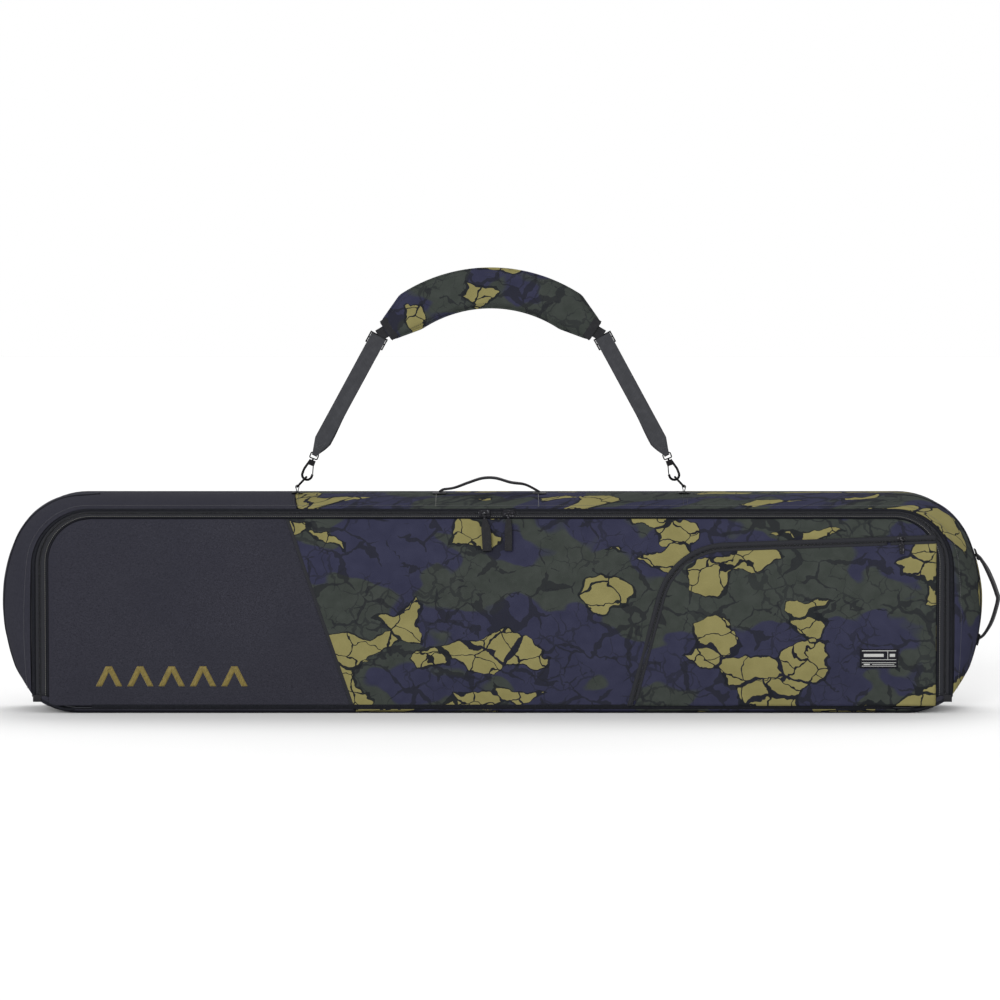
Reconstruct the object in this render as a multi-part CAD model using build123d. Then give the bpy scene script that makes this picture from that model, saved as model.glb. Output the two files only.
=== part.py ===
from build123d import *
import os
from math import asin, atan2, cos, degrees, hypot, radians, sin, sqrt

# Padded snowboard bag standing on its long edge, as an assembly of separate pieces.
# Frame: +X runs from the nose end to the tail end, -Y is the front with the zipped lid, +Z is up.
# The origin is on the ground, under the middle of the bag. Units are millimetres.

# ---------------------------------------------------------------- driving dimensions
LENGTH = 1610.0  # bag body, end to end
HEIGHT = 355.0  # bag body, ground to top
END_CORNER_R = 125.0  # small radius of each rounded end
END_R = 260.0  # large radius in the middle of each end
FRONT_Y = -72.0  # outer face of the lid
BACK_Y = 75.0  # outer face of the back panel
FABRIC_T = 1.2  # woven outer shell
FOAM_T = 6.0  # closed-cell padding
LINING_T = 0.8  # coated lining
PLY_GAP = 0.2  # air between sewn layers
WEBBING_T = 1.4  # strap webbing

FRONT_HALF = 748.0  # half length of the opening's outer edge
FRONT_TOP = 332.0  # top of the opening's outer edge
FRONT_CORNER_R = 95.0
ZIP_SIDE_W = 24.0  # width of the zip band down the ends
ZIP_TOP_W = 13.0  # width of the zip band along the top
ZIP_CORNER_STEP = 22.0  # how much tighter the band's inner corners are

RIM_Y = -62.5  # front edge of the side walls, behind the lid
BACK_RIM_Y = 66.0  # rear edge of the side walls
ZIP_FOOT_Z = 27.0  # where the zip ends above the ground
HINGE_Y, HINGE_Z, HINGE_R = -67.5, 9.0, 2.5  # piping that the lid folds about
LID_FOOT_Z = 12.3  # lower edge of the lid

STRAP_X = -3.0  # middle of the shoulder strap
TAB_HALF = 317.0  # strap tabs, each side of the strap's middle
RING_WIRE_R = 1.8
RING_AXIS_Z = HEIGHT + 10.5  # the strap swings about this height

zip_line_z = FRONT_TOP - ZIP_TOP_W / 2
half_height = HEIGHT / 2
WALL_PLIES = (  # name, outer inset, inner inset
    ("fabric", 0.0, FABRIC_T),
    ("foam", FABRIC_T + PLY_GAP, FABRIC_T + PLY_GAP + FOAM_T),
    ("lining", FABRIC_T + FOAM_T + 2 * PLY_GAP, FABRIC_T + FOAM_T + LINING_T + 2 * PLY_GAP),
)
FRONT_PLANE = Plane(origin=(0, 0, 0), x_dir=(1, 0, 0), z_dir=(0, -1, 0))


def on_front(shape, y=0.0):
    """Stands a shape drawn in X and Y up in the X-Z plane at depth y."""
    return Location((0, y, 0)) * (FRONT_PLANE * shape)


def slab(face, y_near, y_far):
    """A face drawn in X and Y, stood up and thickened from depth y_near to y_far."""
    return on_front(extrude(face, amount=-(y_far - y_near)), y_near)


def block(x, y, z):
    """A box from three (low, high) pairs."""
    size = [high - low for low, high in (x, y, z)]
    middle = [(high + low) / 2 for low, high in (x, y, z)]
    return Location(middle) * Box(*size)


def write(name, *solids):
    """Writes one node; several solids become one group."""
    found = [s for shape in solids for s in shape.solids()]
    shape = found[0] if len(found) == 1 else Compound(children=found)
    export_step(shape, f"parts/{name}.step")


# ---------------------------------------------------------------- outlines, as arcs (start, middle, end)
def polar(centre, radius, angle):
    return (centre[0] + radius * cos(angle), centre[1] + radius * sin(angle))


def arc(centre, radius, start, finish):
    """An arc as its start, middle and end points."""
    return tuple(polar(centre, radius, angle) for angle in (start, (start + finish) / 2, finish))


def full_side(inset):
    """Right-hand half of the widest outline: bottom corner, end and top corner."""
    corner_r, end_r = END_CORNER_R - inset, END_R - inset
    rise = half_height - END_CORNER_R
    run = sqrt((END_R - END_CORNER_R) ** 2 - rise**2)
    end_x = LENGTH / 2 - END_R
    join = atan2(rise, run)
    low, high = (end_x + run, half_height - rise), (end_x + run, half_height + rise)
    quarter = radians(90)
    return [
        arc(low, corner_r, -quarter, -join),
        arc((end_x, half_height), end_r, -join, join),
        arc(high, corner_r, join, quarter),
    ]


def front_side(inset, share=0.0):
    """Right-hand half of the opening: share 0 is its outer edge and 1 the lid's panel edge."""
    side_x = FRONT_HALF - ZIP_SIDE_W * share - inset
    top_z = FRONT_TOP - ZIP_TOP_W * share - inset
    top_r = FRONT_CORNER_R - ZIP_CORNER_STEP * share - inset
    low = (full_side(0)[0][0][0], END_CORNER_R)
    low_r = END_CORNER_R - inset
    foot = -radians(90) + asin((side_x - low[0]) / low_r)
    foot_z = low[1] + low_r * sin(foot)
    high = (side_x - top_r, top_z - top_r)
    return [
        arc(low, low_r, -radians(90), foot),
        ((side_x, foot_z), (side_x, (foot_z + high[1]) / 2), (side_x, high[1])),
        arc(high, top_r, 0, radians(90)),
    ]


def mixed_side(inset, share):
    """Part way from the opening's outer edge, at 0, to the widest outline, at 1."""
    return [
        tuple(tuple(a + (b - a) * share for a, b in zip(p, q)) for p, q in zip(narrow, wide))
        for narrow, wide in zip(front_side(inset), full_side(inset))
    ]


def outline(side):
    """A closed face from the right-hand half of an outline and its mirror image."""
    mirrored = [tuple((-x, z) for x, z in reversed(arc)) for arc in reversed(side)]
    edges = [Line(mirrored[-1][2], side[0][0])]
    for start, middle, end in side:
        edges.append(arc_or_line(start, middle, end))
    edges.append(Line(side[-1][2], mirrored[0][0]))
    for start, middle, end in mirrored:
        edges.append(arc_or_line(start, middle, end))
    return make_face(edges)


def arc_or_line(start, middle, end):
    bow = hypot(middle[0] - (start[0] + end[0]) / 2, middle[1] - (start[1] + end[1]) / 2)
    return Line(start, end) if bow < 0.01 else ThreePointArc(start, middle, end)


def ring_face(outer_share, inner_share):
    return outline(front_side(0, outer_share)) - outline(front_side(0, inner_share))


def zip_ring(outer_share, inner_share, y_near, y_far):
    """A band round the top and both ends of the opening, cut off at the zip's foot."""
    ring = slab(ring_face(outer_share, inner_share), y_near, y_far)
    keep = block((-900, 900), (-100, 0), (ZIP_FOOT_Z, 400))
    return ring & keep


# ---------------------------------------------------------------- side walls
WALL_SECTIONS = ((RIM_Y, 0.0), (-48.0, 0.55), (-22.0, 0.88), (12.0, 1.0), (BACK_RIM_Y, 0.985))
STRAIGHT_X = 655.0  # the walls are straight between these
NOSE_SEAM_X = -320.0  # black cloth on the nose side, printed cloth beyond
SEAM_GAP = 0.3
WELT_R, WELT_INSET = 2.5, 2.7  # welt round the back
BACK_INSET = 5.4  # the back panel's edge, inside the welt


def wall_solid(inset):
    faces = [on_front(outline(mixed_side(inset, share)), y) for y, share in WALL_SECTIONS]
    return loft(faces)


def side_walls():
    """Fabric, foam and lining round the bag, in nose, top, tail and bottom pieces."""
    deep = (RIM_Y - 5, BACK_RIM_Y + 5)
    low_z = (-5, 60)
    boxes = {
        "tail": block((STRAIGHT_X, 900), deep, (-5, 400)),
        "top": block((NOSE_SEAM_X + SEAM_GAP, STRAIGHT_X - SEAM_GAP), deep, (200, 400)),
        "nose": block((-900, NOSE_SEAM_X), deep, (200, 400))
        + block((-900, -STRAIGHT_X), deep, (-5, 201)),
    }
    for name, outer, inner in WALL_PLIES:
        shell = wall_solid(outer) - wall_solid(inner)
        reach = STRAIGHT_X - SEAM_GAP
        bottom = block((-reach, reach), (RIM_Y, BACK_RIM_Y), (outer, inner))
        if name == "lining":
            open_shell = shell - block((-STRAIGHT_X, STRAIGHT_X), deep, low_z)
            write("body_lining", open_shell, bottom, back_lining())
            continue
        for place, box in boxes.items():
            write(f"{place}_{name}", shell & box)
        write(f"bottom_{name}", bottom)


def back_lining():
    far = BACK_Y - FABRIC_T - FOAM_T - 2 * PLY_GAP
    return slab(outline(full_side(BACK_INSET)), far - LINING_T, far)


def back_panel():
    """Outer cloth and foam of the back, and the welt round it."""
    face = outline(full_side(BACK_INSET))
    write("back_fabric", slab(face, BACK_Y - FABRIC_T, BACK_Y))
    foam_far = BACK_Y - FABRIC_T - PLY_GAP
    write("back_foam", slab(face, foam_far - FOAM_T, foam_far))
    path = on_front(outline(full_side(WELT_INSET)), BACK_RIM_Y + WELT_R + SEAM_GAP).face().outer_wire()
    section = Plane(origin=path @ 0, z_dir=path % 0) * Circle(WELT_R)
    write("back_welt", sweep(section, path=path))


# ---------------------------------------------------------------- opening's edge and zip
COIL_EDGE = 0.485  # where the teeth meet, as a share of the band
TEETH_GAP = 0.015


def opening_edge():
    """Binding, tape and teeth that stay with the walls, the zip's ends and the hinge welt."""
    write("opening_binding", zip_ring(0.0, 0.2, FRONT_Y, RIM_Y - SEAM_GAP))
    write("gusset_zip_tape", zip_ring(0.21, 0.43, FRONT_Y + 1.4, FRONT_Y + 2.8))
    write("gusset_zip_coil", zip_ring(0.44, COIL_EDGE, FRONT_Y + 0.4, FRONT_Y + 2.6))
    ends = []
    for side in (-1, 1):
        x = sorted((side * (FRONT_HALF - 12.6), side * (FRONT_HALF - 0.5)))
        ends.append(block(x, (FRONT_Y - 0.6, RIM_Y - SEAM_GAP), (ZIP_FOOT_Z - 9, ZIP_FOOT_Z - 0.3)))
    write("zip_end_tabs", *ends)
    write("hinge_welt", hinge_welt())


def hinge_welt():
    """Round piping that the lid folds about, with the flange that joins it to the bottom."""
    reach = (-STRAIGHT_X, STRAIGHT_X)
    cord = Location((0, HINGE_Y, HINGE_Z), (0, 90, 0)) * Cylinder(HINGE_R, 2 * STRAIGHT_X)
    upright = block(reach, (HINGE_Y - 0.7, HINGE_Y + 0.7), (0.2, HINGE_Z))
    foot = block(reach, (HINGE_Y, RIM_Y - SEAM_GAP), (0.2, 1.6))
    return cord + upright + foot


# ---------------------------------------------------------------- lid
SEAM_TOP_X, SEAM_FOOT_X = -334.0, -224.0  # slanting seam between the two cloths
SEAM_TAPE_W = 6.0
LID_INSET = 2.4  # cloth's edge, inside the panel edge
POCKET_CORNERS = ((227.0, 9.0), (296.0, 266.7), (712.0, 281.9))  # teeth of the pocket's zip
POCKET_R = 110.0
POCKET_GAP = 2.0  # room inside the empty pocket
POCKET_EDGE_X = 716.0
POCKET_FRONT = FRONT_Y - PLY_GAP - POCKET_GAP - FABRIC_T
FOLD_START, FOLD_END = (229.0, 12.0), (648.0, 272.0)  # line that the open pocket mouth folds along
FOLD_GAP = 0.15


def lid_face():
    """The lid's outline, trimmed above the hinge."""
    return outline(front_side(LID_INSET, 1.0)) & (Pos(0, 200) * Rectangle(1700, 2 * (200 - LID_FOOT_Z)))


def seam_strip(half_width):
    """A long strip along the slanting seam."""
    top, foot = FRONT_TOP + 40, -40
    slope = (SEAM_TOP_X - SEAM_FOOT_X) / (FRONT_TOP - ZIP_TOP_W)
    x_top, x_foot = SEAM_FOOT_X + slope * top, SEAM_FOOT_X + slope * foot
    return make_face(
        Polyline(
            (x_top - half_width, top), (x_top + half_width, top),
            (x_foot + half_width, foot), (x_foot - half_width, foot), close=True,
        )
    )


def left_of_seam(offset):
    top, foot = FRONT_TOP + 40, -40
    slope = (SEAM_TOP_X - SEAM_FOOT_X) / (FRONT_TOP - ZIP_TOP_W)
    x_top, x_foot = SEAM_FOOT_X + slope * top + offset, SEAM_FOOT_X + slope * foot + offset
    return make_face(Polyline((-900, top), (x_top, top), (x_foot, foot), (-900, foot), close=True))


def lid():
    """Cloth, foam and lining of the lid, with its half of the zip."""
    y = FRONT_Y
    face = lid_face()
    half = SEAM_TAPE_W / 2 + 0.1
    write("lid_nose_fabric", slab(face & left_of_seam(-half), y, y + FABRIC_T))
    write("lid_print_fabric", slab(face - left_of_seam(half), y, y + FABRIC_T))
    tape = face & seam_strip(SEAM_TAPE_W / 2)
    write("lid_seam_tape", slab(tape, y - 0.6, y + FABRIC_T))
    foam_y = y + FABRIC_T + PLY_GAP
    write("lid_foam", slab(face, foam_y, foam_y + FOAM_T))
    lining_y = foam_y + FOAM_T + PLY_GAP
    write("lid_lining", slab(face, lining_y, lining_y + LINING_T))
    write("lid_zip_tape", zip_ring(0.57, 0.95, y + 1.4, y + 2.8))
    write("lid_zip_coil", zip_ring(COIL_EDGE + 2 * TEETH_GAP, 0.56, y + 0.4, y + 2.6))
    write("lid_piping", zip_ring(0.96, 1.09, y - 0.8, y + 3.2))


# ---------------------------------------------------------------- pocket on the lid
def pocket_line(offset):
    """The pocket's zip line moved sideways: a positive offset is towards the pocket."""
    (x0, z0), (x1, z1), (x2, z2) = POCKET_CORNERS
    first, second = atan2(z1 - z0, x1 - x0), atan2(z2 - z1, x2 - x1)
    n1 = (sin(first) * offset, -cos(first) * offset)
    n2 = (sin(second) * offset, -cos(second) * offset)
    half_turn = (first - second) / 2
    mitre = offset / cos(half_turn)
    middle = (first + second) / 2
    corner = (x1 + sin(middle) * mitre, z1 - cos(middle) * mitre)
    return [(x0 + n1[0], z0 + n1[1]), corner, (x2 + n2[0], z2 + n2[1])]


def pocket_face(offset):
    """Everything on the pocket's side of the moved zip line, inside the lid."""
    start, corner, end = pocket_line(offset)
    slope = (start[0] - corner[0]) / (start[1] - corner[1])
    foot = (start[0] - slope * (start[1] + 40), -40)
    border = FilletPolyline(foot, corner, (end[0] + 60, end[1]), radius=POCKET_R - offset)
    close = Polyline((end[0] + 60, end[1]), (end[0] + 60, -40), foot)
    region = make_face([*border.edges(), *close.edges()])
    edge = Pos(POCKET_EDGE_X - 500, 150) * Rectangle(1000, 900)
    return lid_face() & region & edge


def mouth_region(grow):
    """The part of the pocket that opens: above the fold line and short of the parked slider."""
    (x0, z0), (x1, z1) = FOLD_START, FOLD_END
    slope = (z1 - z0) / (x1 - x0)
    drop = grow * hypot(1, slope)
    far = x1 + grow
    low = z0 - slope * x0 - drop
    return make_face(Polyline((0, low), (far, low + slope * far), (far, 400), (0, 400), close=True))


def pocket():
    """A flat pouch: fixed panel with its sewn edges, folding mouth, and the zip's two tapes."""
    near = POCKET_FRONT
    inner = pocket_face(5.0)
    tail_edge = Pos(POCKET_EDGE_X - 2, 130) * Rectangle(4, 290)
    foot_edge = Pos(500, LID_FOOT_Z + 3) * Rectangle(480, 6)
    edges = (inner & (tail_edge + foot_edge)) - mouth_region(0.6)
    front = slab(inner - mouth_region(FOLD_GAP), near, near + FABRIC_T)
    write("pocket_panel", front + slab(edges, near + FABRIC_T, FRONT_Y - PLY_GAP))
    write("pocket_mouth", slab(inner & mouth_region(-FOLD_GAP), near, near + FABRIC_T))
    mouth_tape = (pocket_face(0.7) - pocket_face(4.8)) & mouth_region(-0.6)
    write("pocket_mouth_tape", slab(mouth_tape, near - 0.3, near + FABRIC_T))
    lid_tape = pocket_face(-8.0) - pocket_face(0.2)
    write("pocket_lid_tape", slab(lid_tape, near - 0.3, FRONT_Y - PLY_GAP))


# ---------------------------------------------------------------- zip sliders and pulls
SLIDER_X = {"left": -13.0, "right": 26.0}
MAIN_SLIDER = (20.0, 11.0, 2.6, 3.2)  # length, width, height, bridge's axis above the body
SMALL_SLIDER = (13.0, 7.0, 2.0, 2.2)
BRIDGE_R = 1.1
EYE_CLEARANCE = 0.06
PULL_W, PULL_LENGTH, PULL_FOLD = 12.5, 52.0, 8.5
POCKET_SLIDER_X, POCKET_SLIDER_Z = 664.0, 284.0


def slider(length, width, height, lift):
    """A zip slider lying on its back: a body, two posts and the round bridge between them."""
    body = extrude(RectangleRounded(length, width, width * 0.3), amount=height)
    body = fillet(body.faces().sort_by(Axis.Z)[-1].edges(), height * 0.3)
    post_x = length * 0.3
    shape = body + Pos(0, 0, height + lift) * (Rotation(0, 90, 0) * Cylinder(BRIDGE_R, 2 * post_x))
    for end in (-1, 1):
        post = Box(1.8, 3.0, lift + BRIDGE_R + 0.2, align=(Align.CENTER, Align.CENTER, Align.MIN))
        shape = shape + Pos(end * post_x, 0, height - 0.2) * post
    return shape


def pull_eye(radius, length):
    """The tube of a pull, which turns on the slider's bridge, along X."""
    tube = Cylinder(radius, length) - Cylinder(BRIDGE_R + EYE_CLEARANCE, 2 * length)
    return Rotation(0, 90, 0) * tube


def main_sliders():
    """Two sliders on the top run, each with a metal eye and a folded webbing pull."""
    length, width, height, lift = MAIN_SLIDER
    back = FRONT_Y - 0.9
    for side, x in SLIDER_X.items():
        write(f"zip_slider_{side}", Location((x, back, zip_line_z)) * (FRONT_PLANE * slider(*MAIN_SLIDER)))
        axis = Pos(x, back - height - lift, zip_line_z)
        stem = Pos(0, 0, -5.4) * Box(3.0, 1.6, 7.0)
        bar = Pos(0, 0, -10.4) * Box(8.0, 1.6, 3.0)
        bore = Rotation(0, 90, 0) * Cylinder(BRIDGE_R + EYE_CLEARANCE, 20)
        write(f"zip_pull_eye_{side}", axis * (pull_eye(2.5, 3.0) + (stem - bore) + bar))
        band = Pos(0, 0, -PULL_FOLD - PULL_LENGTH / 2) * Box(PULL_W, 4.8, PULL_LENGTH)
        pocket_for_bar = Pos(0, 0, -10.5) * Box(8.6, 2.0, 3.6)
        pocket_for_stem = Pos(0, 0, -8.0) * Box(3.6, 2.0, 5.0)
        write(f"zip_pull_{side}", axis * (band - pocket_for_bar - pocket_for_stem))


def pocket_slider():
    """A small slider with a flat metal pull, parked at the tail end of the pocket's zip."""
    length, width, height, lift = SMALL_SLIDER
    back = POCKET_FRONT - 0.7
    place = (POCKET_SLIDER_X, back, POCKET_SLIDER_Z)
    write("pocket_slider", Location(place) * (FRONT_PLANE * slider(*SMALL_SLIDER)))
    axis = Pos(POCKET_SLIDER_X, back - height - lift, POCKET_SLIDER_Z)
    bore = Rotation(0, 90, 0) * Cylinder(BRIDGE_R + EYE_CLEARANCE, 20)
    stem = Pos(0, 0, -4.0) * Box(2.4, 1.2, 5.0)
    tab = Pos(0, 0.6, -15.0) * (Rotation(90, 0, 0) * extrude(RectangleRounded(7.5, 18.0, 2.2), amount=1.2))
    write("pocket_pull", axis * (pull_eye(1.9, 2.4) + (stem - bore) + tab))


# ---------------------------------------------------------------- label and stitched badge
LABEL_X, LABEL_Z, LABEL_W, LABEL_H = 628.0, 89.5, 62.0, 31.0
BADGE_X, BADGE_PITCH, BADGE_STROKES = -645.0, 51.0, 5
BADGE_FOOT_Z, BADGE_TOP_Z = 44.0, 77.0


def label_and_badge():
    """A woven label on the pocket and a plain ridge-line badge on the nose cloth."""
    label = Pos(LABEL_X, LABEL_Z) * RectangleRounded(LABEL_W, LABEL_H, 1.5)
    write("woven_label", slab(label, POCKET_FRONT - 0.9, POCKET_FRONT - 0.1))
    strokes = []
    for index in range(BADGE_STROKES):
        x = BADGE_X + index * BADGE_PITCH
        peak = Polyline(
            (x, BADGE_FOOT_Z), (x + 17, BADGE_TOP_Z), (x + 26, BADGE_TOP_Z), (x + 43, BADGE_FOOT_Z),
            (x + 33, BADGE_FOOT_Z), (x + 21.5, BADGE_TOP_Z - 11), (x + 10, BADGE_FOOT_Z), close=True,
        )
        strokes.append(slab(make_face(peak), FRONT_Y - 1.0, FRONT_Y - 0.1))
    write("badge", *strokes)


# ---------------------------------------------------------------- shoulder strap
HOOK_FOOT, HOOK_TOP = (304.5, 375.5), (288.5, 418.0)  # from the strap's middle, on the tail side
PAD_END, PAD_END_LEAN = (170.0, 621.0), radians(31)
PAD_TO_WEB = 14.0
WEB_TOP = (PAD_END[0] + PAD_TO_WEB * cos(PAD_END_LEAN), PAD_END[1] - PAD_TO_WEB * sin(PAD_END_LEAN))
WEB_W = 25.0
PAD_R, PAD_CENTRE_Z = 236.6, 454.4
PAD_HALF_W, PAD_END_HALF_W = 31.5, 16.0
PAD_TAPER_A = radians(33.5)  # from upright
PAD_T = 14.0
PAD_PLY_T = 1.2
LAYER_Y = 2.2  # middle of each webbing layer from the strap's middle plane
BUCKLE_AT = 10.0  # buckle's middle bar, along the webbing


def side_frame(side, point, towards):
    """A frame at a point of the strap, with its X axis along it and its Z axis across the bag."""
    x0, z0 = STRAP_X + side * point[0], point[1]
    x1, z1 = STRAP_X + side * towards[0], towards[1]
    return Plane(origin=(x0, 0, z0), x_dir=(x1 - x0, 0, z1 - z0), z_dir=(0, -1, 0))


def strap_name(side):
    return "right" if side > 0 else "left"


def pad_point(radius, angle):
    return (STRAP_X + radius * sin(angle), PAD_CENTRE_Z + radius * cos(angle))


def pad_face(shrink):
    half, end_half = PAD_HALF_W - shrink, PAD_END_HALF_W - shrink
    end_x = PAD_END[0] - shrink * cos(PAD_END_LEAN)
    end_z = PAD_END[1] + shrink * sin(PAD_END_LEAN)
    dx, dz = end_half * sin(PAD_END_LEAN), end_half * cos(PAD_END_LEAN)
    corner = [pad_point(PAD_R + half, a) for a in (-PAD_TAPER_A, 0, PAD_TAPER_A)]
    under = [pad_point(PAD_R - half, a) for a in (PAD_TAPER_A, 0, -PAD_TAPER_A)]
    right = [(STRAP_X + end_x + dx, end_z + dz), (STRAP_X + end_x - dx, end_z - dz)]
    left = [(STRAP_X - end_x + dx, end_z - dz), (STRAP_X - end_x - dx, end_z + dz)]
    return make_face([
        ThreePointArc(*corner), Line(corner[2], right[0]),
        Line(right[0], right[1]), Line(right[1], under[0]),
        ThreePointArc(*under), Line(under[2], left[0]), Line(left[0], left[1]), Line(left[1], corner[0]),
    ])


def shoulder_pad():
    """Curved pad: two faces with foam between them, and the webbing sewn along its back."""
    half = PAD_T / 2
    write("pad_front", slab(pad_face(0), -half, -half + PAD_PLY_T))
    write("pad_foam", slab(pad_face(1.5), -half + PAD_PLY_T + PLY_GAP, half - PAD_PLY_T - PLY_GAP))
    write("pad_back", slab(pad_face(0), half - PAD_PLY_T, half))


def strap_webbing(side):
    """Doubled webbing from the buckle to the hook, narrowing to the hook's eye."""
    frame = side_frame(side, WEB_TOP, HOOK_TOP)
    length = hypot(WEB_TOP[0] - HOOK_TOP[0], WEB_TOP[1] - HOOK_TOP[1]) - 0.3
    taper = 26.0
    band = make_face(Polyline(
        (2.0, WEB_W / 2), (length - taper, WEB_W / 2), (length, 4.5),
        (length, -4.5), (length - taper, -WEB_W / 2), (2.0, -WEB_W / 2), close=True,
    ))
    front = extrude(Pos(0, 0, LAYER_Y - WEBBING_T / 2) * band, amount=WEBBING_T)
    back = extrude(Pos(0, 0, -LAYER_Y - WEBBING_T / 2) * band, amount=WEBBING_T)
    fold = Pos(length + 0.7, 0, 0) * Box(1.4, 9.0, 2 * LAYER_Y + WEBBING_T)
    write(f"strap_webbing_{strap_name(side)}", frame * (front + back + fold))


def pad_end_tabs():
    """Webbing that joins the pad's ends to the two straps, between their layers."""
    start, end = 3.7, PAD_TO_WEB - 0.3
    tab = Pos((start + end) / 2, 0, 0) * Box(end - start, WEB_W - 5, WEBBING_T)
    write("pad_end_tabs", *[side_frame(side, WEB_TOP, PAD_END) * tab for side in (-1, 1)])


def strap_buckle(side):
    """Three-bar buckle: the middle bar lies between the webbing's two layers."""
    frame = side_frame(side, WEB_TOP, HOOK_TOP)
    rail_x, bar_span, bar_r = WEB_W / 2 + 2.2, 18.0, 1.1
    middle = Pos(BUCKLE_AT, 0, 0) * (Rotation(90, 0, 0) * Cylinder(bar_r, 2 * rail_x))
    bar = Rotation(90, 0, 0) * Cylinder(bar_r, 2 * rail_x)
    bar_back = -LAYER_Y - WEBBING_T / 2 - 1.5
    outer = [Pos(BUCKLE_AT + step, 0, bar_back) * bar for step in (-bar_span / 2, bar_span / 2)]
    rails = [
        Pos(BUCKLE_AT, end * rail_x, -2.2) * Box(bar_span + 2 * bar_r, 2.2, 6.6) for end in (-1, 1)
    ]
    shape = middle
    for piece in outer + rails:
        shape = shape + piece
    write(f"strap_buckle_{strap_name(side)}", frame * shape)


HOOK_WIRE_R = 2.0
BOWL_R = 8.0  # middle of the wire round the hook's bowl
NECK_X = 12.6  # hook's head, along the hook
HEAD_SIZE = (9.0, 11.0, 5.0)
GATE_PIN = (NECK_X + 3.6, 3.8)  # along the hook, and in from its middle
GATE_PIN_R = 0.9
NOSE = 4.0  # straight end of the hook beyond its bowl
hook_length = hypot(HOOK_TOP[0] - HOOK_FOOT[0], HOOK_TOP[1] - HOOK_FOOT[1])
bowl_x = hook_length - BOWL_R - HOOK_WIRE_R


def hook_swivel(side):
    """Eye that the webbing passes through, with the post that the hook turns on."""
    frame = side_frame(side, HOOK_TOP, HOOK_FOOT)
    ring = RectangleRounded(11.0, 15.0, 3.0) - RectangleRounded(7.0, 11.0, 1.2)
    eye = Pos(2.2, 0, 0) * extrude(ring, amount=1.2, both=True)
    post = Pos(9.6, 0, 0) * (Rotation(0, 90, 0) * Cylinder(1.5, 5.4))
    button = Pos(12.7, 0, 0) * (Rotation(0, 90, 0) * Cylinder(2.1, 1.0))
    write(f"hook_swivel_{strap_name(side)}", frame * (eye + post + button))


def hook_body(side):
    """Hook bent from wire, with a head that holds the swivel post and the gate's pin."""
    frame = side_frame(side, HOOK_TOP, HOOK_FOOT)
    spine = FilletPolyline(
        (NECK_X, side * 4.0), (bowl_x - 8.0, side * BOWL_R), (bowl_x, side * BOWL_R), radius=20.0
    )
    bowl = ThreePointArc((bowl_x, side * BOWL_R), (bowl_x + BOWL_R, 0), (bowl_x, -side * BOWL_R))
    nose = Line((bowl_x, -side * BOWL_R), (bowl_x - NOSE, -side * BOWL_R))
    path = Wire([*spine.edges(), bowl.edge(), nose.edge()])
    wire = sweep(Plane(origin=path @ 0, z_dir=path % 0) * Circle(HOOK_WIRE_R), path=path)
    head = Pos(NECK_X + 1.5, 0, 0) * Box(*HEAD_SIZE)
    post_bore = Pos(NECK_X - 1.0, 0, 0) * (Rotation(0, 90, 0) * Cylinder(1.55, 8.0))
    button_room = Pos(NECK_X + 1.1, 0, 0) * (Rotation(0, 90, 0) * Cylinder(2.3, 3.2))
    gate_room = Pos(NECK_X + 5.5, -side * 3.6, 0) * Box(7.0, 6.0, 2.4)
    pin_x, pin_in = GATE_PIN
    pin_bore = Pos(pin_x, -side * pin_in, 0) * Cylinder(GATE_PIN_R + 0.05, 10.0)
    body = head + wire - post_bore - button_room - gate_room - pin_bore
    write(f"hook_body_{strap_name(side)}", frame * body)


def hook_gate(side):
    """Sprung wire gate from its pin in the hook's head to the hook's nose."""
    frame = side_frame(side, HOOK_TOP, HOOK_FOOT)
    pin_x, pin_in = GATE_PIN
    line = Line((pin_x, -side * pin_in), (bowl_x - NOSE - 0.6, -side * BOWL_R))
    wire = sweep(Plane(origin=line @ 0, z_dir=line % 0) * Circle(GATE_PIN_R), path=line)
    pin = Pos(pin_x, -side * pin_in, 0) * Cylinder(GATE_PIN_R, HEAD_SIZE[2])
    write(f"hook_gate_{strap_name(side)}", frame * (wire + pin))


RING_HALF_W = 6.4  # middle of the wire
BOW_IN_BOWL = BOWL_R - HOOK_WIRE_R - RING_WIRE_R - 0.3  # from the bowl's middle to the ring's bow


def strap_rings():
    """Rings whose bars lie across the bag, in the tabs, and whose bows hold the hooks."""
    rings = []
    for side in (-1, 1):
        share = 1 - (bowl_x + BOW_IN_BOWL) / hook_length
        bow = [f + (t - f) * share for f, t in zip(HOOK_FOOT, HOOK_TOP)]
        frame = side_frame(side, (TAB_HALF, RING_AXIS_Z), bow)
        reach = hypot(TAB_HALF - bow[0], RING_AXIS_Z - bow[1])
        face = Plane(origin=frame.origin, x_dir=frame.x_dir, z_dir=frame.y_dir) * (
            Pos(reach / 2, 0) * RectangleRounded(reach, 2 * RING_HALF_W, 2.6)
        )
        path = face.face().outer_wire()
        rings.append(sweep(Plane(origin=path @ 0, z_dir=path % 0) * Circle(RING_WIRE_R), path=path))
    write("strap_rings", *rings)


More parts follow.
